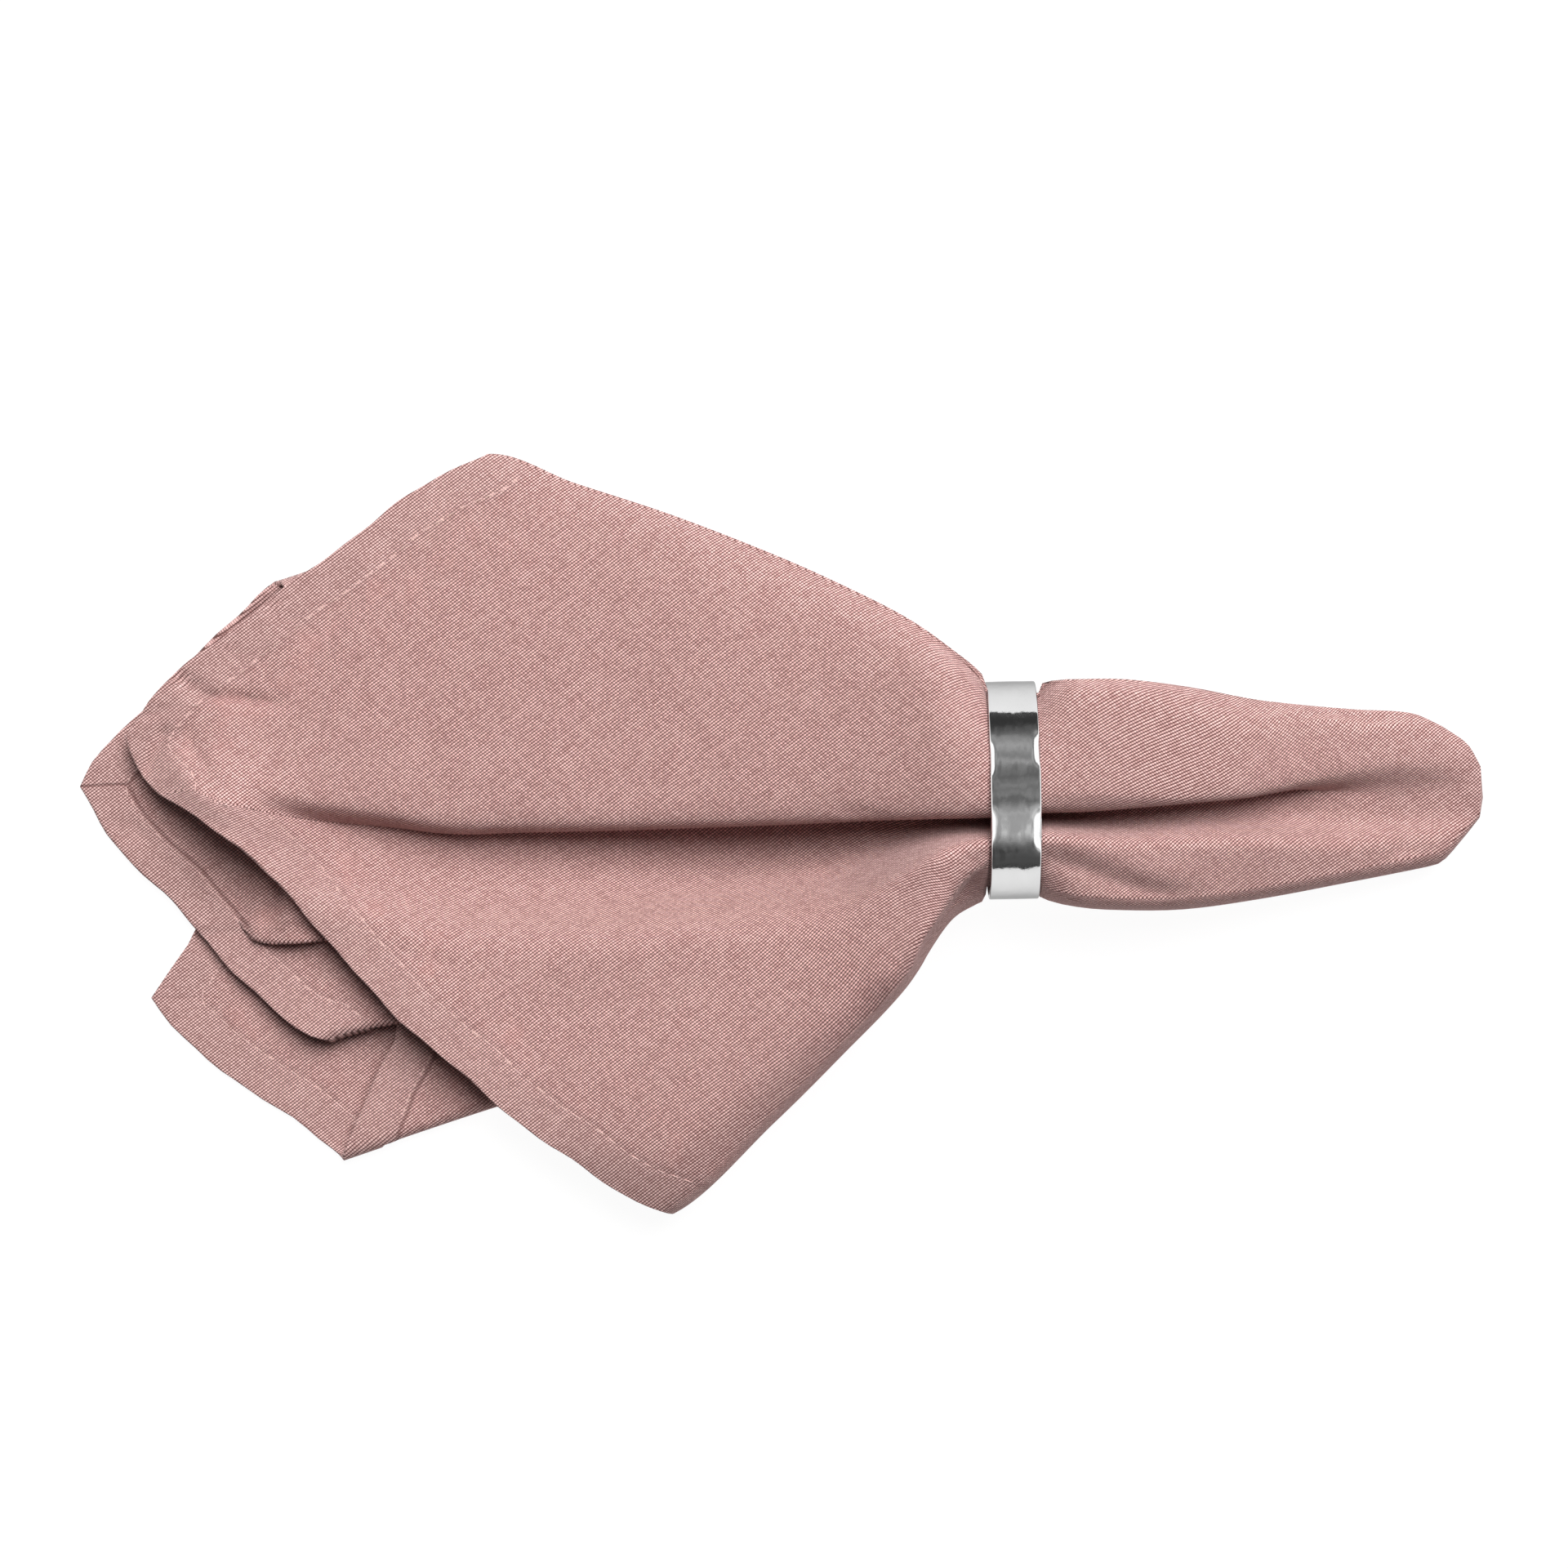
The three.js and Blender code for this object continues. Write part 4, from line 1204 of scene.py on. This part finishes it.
def cotton_material(sizes):
    """Dusty-rose plain weave: light yarns, painted shade between them and on the hem's pressed lines, uneven
    yarns, turned hems and darker, pinker patches.
    """
    material, maker, shader = new_material("dusty_rose_cotton", COTTON_FINISH)
    place = maker.add("ShaderNodeTexCoord").outputs["Object"]
    fibre = maker.noise(place, FIBRE_SCALE)

    # Yarns that sway a little, counted across the cloth
    yarns = maker.split(maker.add("ShaderNodeUVMap", uv_map="yarns").outputs[0])
    sway = maker.scaled(maker.noise(place, SWAY_SCALE), SWAY_SIZE, -SWAY_SIZE / 2)
    warp, weft = (maker.math("ADD", maker.math("DIVIDE", yarn, sizes.yarn_pitch), sway) for yarn in yarns[:2])
    warp_on_top, height = weave_height(maker, warp, weft)
    tone = weave_tone(maker, warp, weft, warp_on_top, fibre)

    # Colour
    yarn = maker.mix(maker.step(tone, *TONE_RANGE), sizes.yarn_shade, sizes.yarn_light)
    # Where the yarn on top dips, its colour goes over to painted shade between the yarns
    shaded_weave = maker.mix(maker.step(height, *YARN_HEIGHTS), sizes.gap, yarn)
    first, second, _ = maker.split(maker.add("ShaderNodeUVMap", uv_map="hems").outputs[0])
    hem = maker.math("MINIMUM", first, second)
    # Darker, pinker patches in a strip just inside the hem
    strip = maker.times(maker.step(hem, *PATCH_STARTS), maker.step(hem, *PATCH_ENDS))
    patches = maker.step(maker.noise(place, PATCH_SCALE, PATCH_DETAIL), *PATCH_RANGE)
    blotched = maker.mix(maker.times(maker.times(patches, strip), PATCH_STRENGTH), shaded_weave, sizes.pink_patch)
    on_hem = maker.step(hem, sizes.hem_width + HEM_GREY_EDGE, sizes.hem_width - HEM_GREY_EDGE)
    greyed = maker.mix(maker.times(on_hem, HEM_GREYING), blotched, sizes.hem_grey)
    line = pressed_and_shaded_lines(maker, first, second, hem, sizes)
    # The pressed lines of the hem take on the same painted shade
    maker.put(maker.mix(maker.times(line, LINE_SHADE), greyed, sizes.gap), shader.inputs["Base Color"])

    # Relief
    groove = maker.times(maker.step(maker.apart(hem, sizes.stitch_inset), *GROOVE_LINE), GROOVE_DEPTH)
    lie = maker.scaled(line, LINE_DEPTH, maker.math("ADD", height, groove))
    relief = maker.scaled(fibre, FIBRE_DEPTH, lie)
    maker.put(maker.bump(relief, *COTTON_RELIEF), shader.inputs["Normal"])
    return material


def thread_material(sizes):
    """Pale sewing thread with a slight twist."""
    material, maker, shader = new_material("pale_thread", THREAD_FINISH)
    place = maker.add("ShaderNodeTexCoord").outputs["Object"]
    tone = maker.step(maker.noise(place, TWIST_SCALE), *TWIST_RANGE)
    maker.put(maker.mix(tone, sizes.thread_shade, sizes.thread_light), shader.inputs["Base Color"])
    maker.put(maker.bump(tone, *THREAD_RELIEF), shader.inputs["Normal"])
    return material


def steel_material(sizes):
    """Polished steel with the faint unevenness of a hand-polished band."""
    material, maker, shader = new_material("polished_steel", STEEL_FINISH)
    place = maker.add("ShaderNodeTexCoord").outputs["Object"]
    drawn_out = maker.add("ShaderNodeVectorMath", {0: place, 1: SWELL_STRETCH}, operation="MULTIPLY")
    swell = maker.noise(drawn_out.outputs[0], SWELL_SCALE)
    scuffs = maker.noise(place, SCUFF_SCALE, SCUFF_DETAIL)
    polish = maker.step(scuffs, *SCUFF_RANGE, sizes.roughness * SMOOTHEST, sizes.roughness * ROUGHEST)
    maker.put(polish, shader.inputs["Roughness"])
    maker.put(maker.mix(swell, sizes.metal_shade, sizes.metal_light), shader.inputs["Base Color"])
    height = maker.scaled(scuffs, SCUFF_DEPTH, swell)
    maker.put(maker.bump(height, *STEEL_RELIEF), shader.inputs["Normal"])
    return material


def stitch_lines(shape, sizes):
    """Lines of stitches on the side of each layer that shows, at their inset from the hem."""
    normals = surface_normals(shape.points)
    hem = shape.edges.min(axis=2)
    inset = sizes.stitch_inset / MM
    lines = []
    for layer, (start, end) in zip(LAYERS, shape.columns):
        line = []
        for column in range(start + 1 + EDGE_POINTS, end - EDGE_POINTS):
            below = np.flatnonzero(hem[:, column] >= inset)
            row = int(below[0]) if len(below) else 0
            if row == 0:
                continue
            low, high = hem[row - 1, column], hem[row, column]
            share = (inset - low) / max(high - low, TINY)
            middle = blend(shape.points[row - 1, column], shape.points[row, column], share)
            lift = sizes.thickness / MM / 2 + STITCH_LIFT
            flat_hem = layer["name"] == "second layer" and middle[1] < PLEAT_Y
            if layer["shows"] < 0 and not flat_hem:
                lift += sizes.hem_fold / MM
            line.append(middle + layer["shows"] * lift * normals[row, column])
        if len(line) > SHORTEST_ROW:
            lines.append(np.array(line))
    return lines


def stitch_tree(material, values):
    """Node tree that lays one small stitch after another along lines, with an input for each value."""
    tree = bpy.data.node_groups.new("hem_stitch_rows", "GeometryNodeTree")
    maker = NodeMaker(tree)
    tree.interface.new_socket("Geometry", in_out="INPUT", socket_type="NodeSocketGeometry")
    for name, value in values.items():
        kind = "NodeSocketInt" if isinstance(value, int) else "NodeSocketFloat"
        socket = tree.interface.new_socket(name, in_out="INPUT", socket_type=kind)
        socket.default_value = value
    tree.interface.new_socket("Geometry", in_out="OUTPUT", socket_type="NodeSocketGeometry")
    source = maker.add("NodeGroupInput").outputs
    curve = maker.add("GeometryNodeMeshToCurve", {0: source["Geometry"]}).outputs[0]
    spacing = {"Curve": curve, "Length": source["Stitch Pitch"]}
    places = maker.add("GeometryNodeCurveToPoints", spacing, mode="LENGTH").outputs
    ball_shape = {"Segments": STITCH_SEGMENTS, "Rings": STITCH_RINGS, "Radius": 1.0}
    ball = maker.add("GeometryNodeMeshUVSphere", ball_shape).outputs[0]
    half = maker.times(source["Stitch Length"], 0.5)
    size = maker.join(source["Thread Radius"], source["Thread Radius"], half)
    stitch = maker.add("GeometryNodeTransform", {"Geometry": ball, "Scale": size}).outputs[0]
    low, high = STITCH_UNEVEN
    bounds = {RANDOM_LOW: low, RANDOM_HIGH: high, "Seed": source["Seed"]}
    uneven = maker.add("FunctionNodeRandomValue", bounds, data_type="FLOAT").outputs[RANDOM_RESULT]
    laid = maker.add("GeometryNodeInstanceOnPoints", {
        "Points": places["Points"], "Instance": stitch, "Rotation": places["Rotation"], "Scale": uneven,
    }).outputs[0]
    real = maker.add("GeometryNodeRealizeInstances", {0: laid}).outputs[0]
    dressed = maker.add("GeometryNodeSetMaterial", {"Geometry": real, "Material": material}).outputs[0]
    maker.add("NodeGroupOutput", {"Geometry": dressed})
    return tree


def plain_mesh(piece):
    """Replaces an object's mesh by what its modifiers make, and removes them."""
    evaluated = piece.evaluated_get(bpy.context.evaluated_depsgraph_get())
    mesh = bpy.data.meshes.new_from_object(evaluated)
    piece.modifiers.clear()
    old = piece.data
    piece.data = mesh
    bpy.data.meshes.remove(old)


def ring_profile(sizes):
    """Closed cross section of the band, as places along its width and depths below the outer face."""
    half, wall, turn = sizes.band_width / MM / 2, sizes.wall / MM, RING_EDGE_ROUND
    side = half - turn
    outer = np.linspace(-side, side, RING_FACE_POINTS)
    bend = np.linspace(0, np.pi / 2, RING_BEND_POINTS)
    right = [(side + turn * math.sin(a), turn - turn * math.cos(a)) for a in bend[1:]]
    low_right = [(side + turn * math.cos(a), wall - turn + turn * math.sin(a)) for a in bend]
    low_left = [(-x, depth) for x, depth in reversed(low_right)]
    left = [(-x, depth) for x, depth in reversed(right)]
    return np.array([*((x, 0.0) for x in outer), *right, *low_right, *low_left, *left])


def ring_mesh(sizes):
    """Turned band with rounded edges, which hollow out a little where it was worked."""
    profile = ring_profile(sizes)
    half = sizes.band_width / MM / 2
    angles = 2 * np.pi * np.arange(RING_SEGMENTS) / RING_SEGMENTS
    x, depth = profile[:, 0][None], profile[:, 1][None]
    fall = RING_CROWN * (x / half) ** 2 + np.zeros((RING_SEGMENTS, 1))
    for side, angle, half_length, reach in RING_HOLLOWS:
        place = np.exp(-(((np.degrees(angles) - angle) / half_length) ** RING_HOLLOW_POWER))[:, None]
        into = np.maximum(0, side * x - (half - reach * RING_HOLLOW_START))
        fall = fall + RING_HOLLOW_DEPTH * place * into**2 / reach
    outside = 1 - smooth(depth, 0, sizes.wall / MM)
    radius = sizes.outer_diameter / MM / 2 - depth - fall * outside
    along_y, along_z = -np.cos(angles)[:, None] * radius, np.sin(angles)[:, None] * radius
    along_x = np.broadcast_to(x, radius.shape)
    turn = math.radians(RING_TURN_DEG)
    points = np.stack([
        along_x * math.cos(turn) - along_y * math.sin(turn),
        along_x * math.sin(turn) + along_y * math.cos(turn),
        along_z,
    ], axis=-1)
    vertices = points.reshape(-1, 3) * MM + RING_MIDDLE
    size = len(profile)
    row, column = np.meshgrid(np.arange(RING_SEGMENTS), np.arange(size), indexing="ij")
    next_row, next_column = (row + 1) % RING_SEGMENTS, (column + 1) % size
    faces = np.stack([
        row * size + column, row * size + next_column,
        next_row * size + next_column, next_row * size + column,
    ], axis=-1).reshape(-1, 4)
    mesh = bpy.data.meshes.new("polished_ring")
    mesh.from_pydata(vertices.tolist(), [], faces.tolist())
    mesh.shade_smooth()
    return mesh


class NapkinClothSizes(bpy.types.PropertyGroup):
    """Sizes and colours of the cloth and its hem."""

    flat_side: FloatProperty(
        name="Flat Side", description="Side of the square napkin", default=0.4, unit="LENGTH")
    thickness: FloatProperty(
        name="Thickness", description="Thickness of the cloth", default=0.0007, unit="LENGTH")
    fold_round: FloatProperty(
        name="Fold Round", description="Width of a rounded fold", default=0.0024, unit="LENGTH")
    hem_width: FloatProperty(
        name="Hem Width", description="Width of the turned hem", default=0.0088, unit="LENGTH")
    hem_fold: FloatProperty(
        name="Hem Fold", description="Extra thickness of the hem", default=0.00045, unit="LENGTH")
    yarn_pitch: FloatProperty(
        name="Yarn Pitch", description="Distance between yarns", default=0.00054, unit="LENGTH")
    warp_angle: FloatProperty(
        name="Warp Angle", description="Direction of the warp in degrees", default=37.0)
    weft_angle: FloatProperty(
        name="Weft Angle", description="Direction of the weft in degrees", default=-41.0)
    stitch_inset: FloatProperty(
        name="Stitch Inset", description="Stitches from the hem", default=0.0080, unit="LENGTH")
    stitch_pitch: FloatProperty(
        name="Stitch Pitch", description="Stitch to stitch", default=0.0029, unit="LENGTH")
    stitch_length: FloatProperty(
        name="Stitch Length", description="Length of a stitch", default=0.0022, unit="LENGTH")
    thread_radius: FloatProperty(
        name="Thread Radius", description="Half the thread", default=0.00014, unit="LENGTH")
    stitch_seed: IntProperty(
        name="Stitch Seed", description="Seed of the uneven stitches", default=7)
    yarn_light: FloatVectorProperty(
        name="Light Yarn", description="Lit yarns",
        subtype="COLOR", size=4, default=(0.9, 0.59, 0.562, 1.0))
    yarn_shade: FloatVectorProperty(
        name="Shaded Yarn", description="Duller yarns",
        subtype="COLOR", size=4, default=(0.57, 0.33, 0.312, 1.0))
    # Painted shade between the yarns and along the hem's pressed lines
    gap: FloatVectorProperty(
        name="Gap", description="Dark gaps between yarns",
        subtype="COLOR", size=4, default=(0.115, 0.042, 0.038, 1.0))
    pink_patch: FloatVectorProperty(
        name="Pink Patch", description="Pinker washed patches",
        subtype="COLOR", size=4, default=(0.62, 0.29, 0.26, 1.0))
    hem_grey: FloatVectorProperty(
        name="Hem Grey", description="Greyer tone of the hem",
        subtype="COLOR", size=4, default=(0.42, 0.31, 0.29, 1.0))
    thread_light: FloatVectorProperty(
        name="Light Thread", description="Lit thread",
        subtype="COLOR", size=4, default=(0.74, 0.5, 0.47, 1.0))
    thread_shade: FloatVectorProperty(
        name="Shaded Thread", description="Duller thread",
        subtype="COLOR", size=4, default=(0.58, 0.37, 0.345, 1.0))


class NapkinRingSizes(bpy.types.PropertyGroup):
    """Sizes and finish of the ring."""

    outer_diameter: FloatProperty(
        name="Outer Diameter", description="Across the outside",
        default=RING_OUTER_RADIUS * 2 * MM, unit="LENGTH")
    band_width: FloatProperty(
        name="Band Width", description="Width of the band", default=RING_BAND_WIDTH * MM, unit="LENGTH")
    wall: FloatProperty(
        name="Wall", description="Thickness of the band", default=RING_WALL * MM, unit="LENGTH")
    roughness: FloatProperty(
        name="Roughness", description="Roughness of the polish", default=0.07, min=0.0, max=1.0)
    metal_light: FloatVectorProperty(
        name="Light Metal", description="Brighter metal",
        subtype="COLOR", size=4, default=(0.76, 0.76, 0.76, 1.0))
    metal_shade: FloatVectorProperty(
        name="Shaded Metal", description="Darker metal",
        subtype="COLOR", size=4, default=(0.68, 0.68, 0.68, 1.0))


class NapkinStudioSizes(bpy.types.PropertyGroup):
    """Camera, lights and floor."""

    camera_height: FloatProperty(
        name="Camera Height", description="Above the table", default=1.13, unit="LENGTH")
    camera_x: FloatProperty(
        name="Camera X", description="Along the bundle", default=0.00076, unit="LENGTH")
    camera_y: FloatProperty(
        name="Camera Y", description="Across the bundle", default=0.01022, unit="LENGTH")
    view_width: FloatProperty(
        name="View Width", description="Width seen on the table", default=0.3227, unit="LENGTH")
    key_power: FloatProperty(
        name="Key Power", description="Power of the main light", default=131.0, unit="POWER")
    fill: FloatProperty(
        name="Fill", description="Brightness all round", default=0.07, min=0.0)
    back_fill: FloatProperty(
        name="Back Fill", description="Brightness at the back", default=0.35, min=0.0)
    floor_colour: FloatVectorProperty(
        name="Floor Colour", description="Pale floor",
        subtype="COLOR", size=4, default=(0.1, 0.1, 0.1, 1.0))
    floor_glow: FloatProperty(
        name="Floor Glow", description="Light from the floor itself", default=0.95, min=0.0)


class NAPKIN_OT_lay_cloth(bpy.types.Operator):
    """Lay the gathered cloth of the napkin"""

    bl_idname = "napkin.lay_cloth"
    bl_label = "Lay Cloth"

    def execute(self, context):
        sizes = context.scene.napkin_cloth
        shape = ClothShape(sizes.fold_round / MM)
        cloth = add_object("napkin_cloth", cloth_mesh(shape, sizes))
        cloth.data.materials.append(cotton_material(sizes))
        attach(cloth, "root")
        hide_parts("napkin")
        return {"FINISHED"}


class NAPKIN_OT_sew_hem(bpy.types.Operator):
    bl_idname = "napkin.sew_hem"
    bl_label = "Sew Hem"

    def execute(self, context):
        sizes = context.scene.napkin_cloth
        shape = ClothShape(sizes.fold_round / MM)
        vertices, edges = [], []
        for line in stitch_lines(shape, sizes):
            first = len(vertices)
            vertices += ((line + FRAME_SHIFT) * MM).tolist()
            edges += [(first + i, first + i + 1) for i in range(len(line) - 1)]
        rows = bpy.data.meshes.new("hem_stitches")
        rows.from_pydata(vertices, edges, [])
        stitches = add_object("hem_stitches", rows)
        values = {
            "Stitch Pitch": sizes.stitch_pitch, "Stitch Length": sizes.stitch_length,
            "Thread Radius": sizes.thread_radius, "Seed": sizes.stitch_seed,
        }
        tree = stitch_tree(thread_material(sizes), values)
        modifier = stitches.modifiers.new("Stitch Rows", "NODES")
        modifier.node_group = tree
        for item in tree.interface.items_tree:
            if item.in_out == "INPUT" and item.name in values:
                modifier[item.identifier] = values[item.name]
        plain_mesh(stitches)
        if not stitches.data.polygons:
            raise RuntimeError("The hem has no stitches.")
        stitches.data.shade_smooth()
        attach(stitches, "root")
        return {"FINISHED"}


class NAPKIN_OT_turn_ring(bpy.types.Operator):
    """Turn the polished ring"""

    bl_idname = "napkin.turn_ring"
    bl_label = "Turn Ring"

    def execute(self, context):
        sizes = context.scene.napkin_ring
        ring = add_object("polished_ring", ring_mesh(sizes))
        ring.data.materials.append(steel_material(sizes))
        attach(ring, "root")
        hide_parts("ring")
        return {"FINISHED"}


class NAPKIN_OT_set_studio(bpy.types.Operator):
    """Set the floor, the lights and the camera"""

    bl_idname = "napkin.set_studio"
    bl_label = "Set Studio"

    def execute(self, context):
        sizes = context.scene.napkin_studio
        self.lay_floor(sizes)
        self.hang_light(context.scene, sizes)
        self.fill_room(context.scene, sizes)
        self.place_camera(context.scene, sizes)
        context.scene.view_settings.view_transform = "Standard"
        return {"FINISHED"}

    def lay_floor(self, sizes):
        """A wide pale floor that glows a little, so that shadows on it stay faint."""
        mesh = bpy.data.meshes.new("pale_floor")
        ways = ((-1, -1), (1, -1), (1, 1), (-1, 1))
        mesh.from_pydata([(x * FLOOR_HALF, y * FLOOR_HALF, FLOOR_Z) for x, y in ways], [], [(0, 1, 2, 3)])
        floor = add_object("pale_floor", mesh)
        material, _, shader = new_material("pale_floor", FLOOR_FINISH)
        shader.inputs["Base Color"].default_value = sizes.floor_colour
        shader.inputs["Emission Strength"].default_value = sizes.floor_glow
        mesh.materials.append(material)

    def hang_light(self, scene, sizes):
        """One broad soft light overhead, a little to the back and the right."""
        light = bpy.data.lights.new("window_light", "AREA")
        light.shape = "DISK"
        light.size = LIGHT_SIZE
        light.energy = sizes.key_power
        key = bpy.data.objects.new("window_light", light)
        key.location = LIGHT_PLACE
        key.rotation_euler = [math.radians(turn) for turn in LIGHT_TURN_DEG]
        key.visible_glossy = False
        scene.collection.objects.link(key)

    def fill_room(self, scene, sizes):
        """White fill light, with a darker room and white side walls in reflections."""
        world = bpy.data.worlds.new("studio_room")
        world.use_nodes = True
        world.node_tree.nodes.clear()
        maker = NodeMaker(world.node_tree)
        way = maker.add("ShaderNodeTexCoord").outputs["Generated"]
        x, y, z = maker.split(way)
        patches = []
        for begins, ends in (BACK_PATCH, FRONT_PATCH):
            patches.append(maker.times(maker.step(y, *begins), maker.step(y, *ends)))
        front_glow = maker.times(patches[1], FRONT_PATCH_GLOW)
        lit = maker.scaled(patches[0], BACK_PATCH_GLOW, front_glow)
        up = maker.math("ADD", maker.step(z, *ROOM_HEIGHT_STEP), lit)
        clouds = maker.step(maker.noise(way, CLOUD_SCALE), *CLOUD_STEP)
        walls = maker.step(maker.math("ABSOLUTE", x), *WALL_STEP)
        room = maker.math("MAXIMUM", maker.times(up, clouds), walls)
        seen = maker.add("ShaderNodeBackground", {"Color": room, "Strength": 1.0}).outputs[0]
        behind = maker.step(y, *BACK_FILL_RANGE, sizes.fill, sizes.back_fill)
        white = {"Color": (1.0, 1.0, 1.0, 1.0), "Strength": behind}
        fill = maker.add("ShaderNodeBackground", white).outputs[0]
        glossy = maker.add("ShaderNodeLightPath").outputs["Is Glossy Ray"]
        mixed = maker.add("ShaderNodeMixShader", {0: glossy, 1: fill, 2: seen}).outputs[0]
        maker.add("ShaderNodeOutputWorld", {"Surface": mixed})
        scene.world = world

    def place_camera(self, scene, sizes):
        """A camera straight above the table."""
        camera = bpy.data.cameras.new("overhead_camera")
        camera.sensor_width = SENSOR_WIDTH
        camera.lens = SENSOR_WIDTH * sizes.camera_height / sizes.view_width
        camera.clip_end = FURTHEST_VIEW
        overhead = bpy.data.objects.new("overhead_camera", camera)
        overhead.location = (sizes.camera_x, sizes.camera_y, sizes.camera_height)
        scene.collection.objects.link(overhead)
        scene.camera = overhead


class NAPKIN_PT_sidebar(bpy.types.Panel):
    """Sizes and steps of the napkin in its ring"""

    bl_idname = "NAPKIN_PT_sidebar"
    bl_label = "Napkin in a Ring"
    bl_space_type = "VIEW_3D"
    bl_region_type = "UI"
    bl_category = "Napkin"

    def draw(self, context):
        for step in STEPS:
            self.layout.operator(step.bl_idname)
        for group in (context.scene.napkin_cloth, context.scene.napkin_ring, context.scene.napkin_studio):
            box = self.layout.box()
            for name in group.__annotations__:
                box.prop(group, name)


GROUPS = {
    "napkin_cloth": NapkinClothSizes,
    "napkin_ring": NapkinRingSizes,
    "napkin_studio": NapkinStudioSizes,
}
STEPS = (NAPKIN_OT_lay_cloth, NAPKIN_OT_sew_hem, NAPKIN_OT_turn_ring, NAPKIN_OT_set_studio)


def register():
    """Registers the sizes, the steps and the panel."""
    for name, group in GROUPS.items():
        bpy.utils.register_class(group)
        setattr(bpy.types.Scene, name, PointerProperty(type=group))
    for step in (*STEPS, NAPKIN_PT_sidebar):
        bpy.utils.register_class(step)


def unregister():
    """Takes back what register added."""
    for step in (NAPKIN_PT_sidebar, *reversed(STEPS)):
        bpy.utils.unregister_class(step)
    for name, group in reversed(GROUPS.items()):
        delattr(bpy.types.Scene, name)
        bpy.utils.unregister_class(group)


def main():
    """Makes every piece in order."""
    register()
    bpy.ops.napkin.lay_cloth()
    bpy.ops.napkin.sew_hem()
    bpy.ops.napkin.turn_ring()
    bpy.ops.napkin.set_studio()


if __name__ == "__main__":
    main()
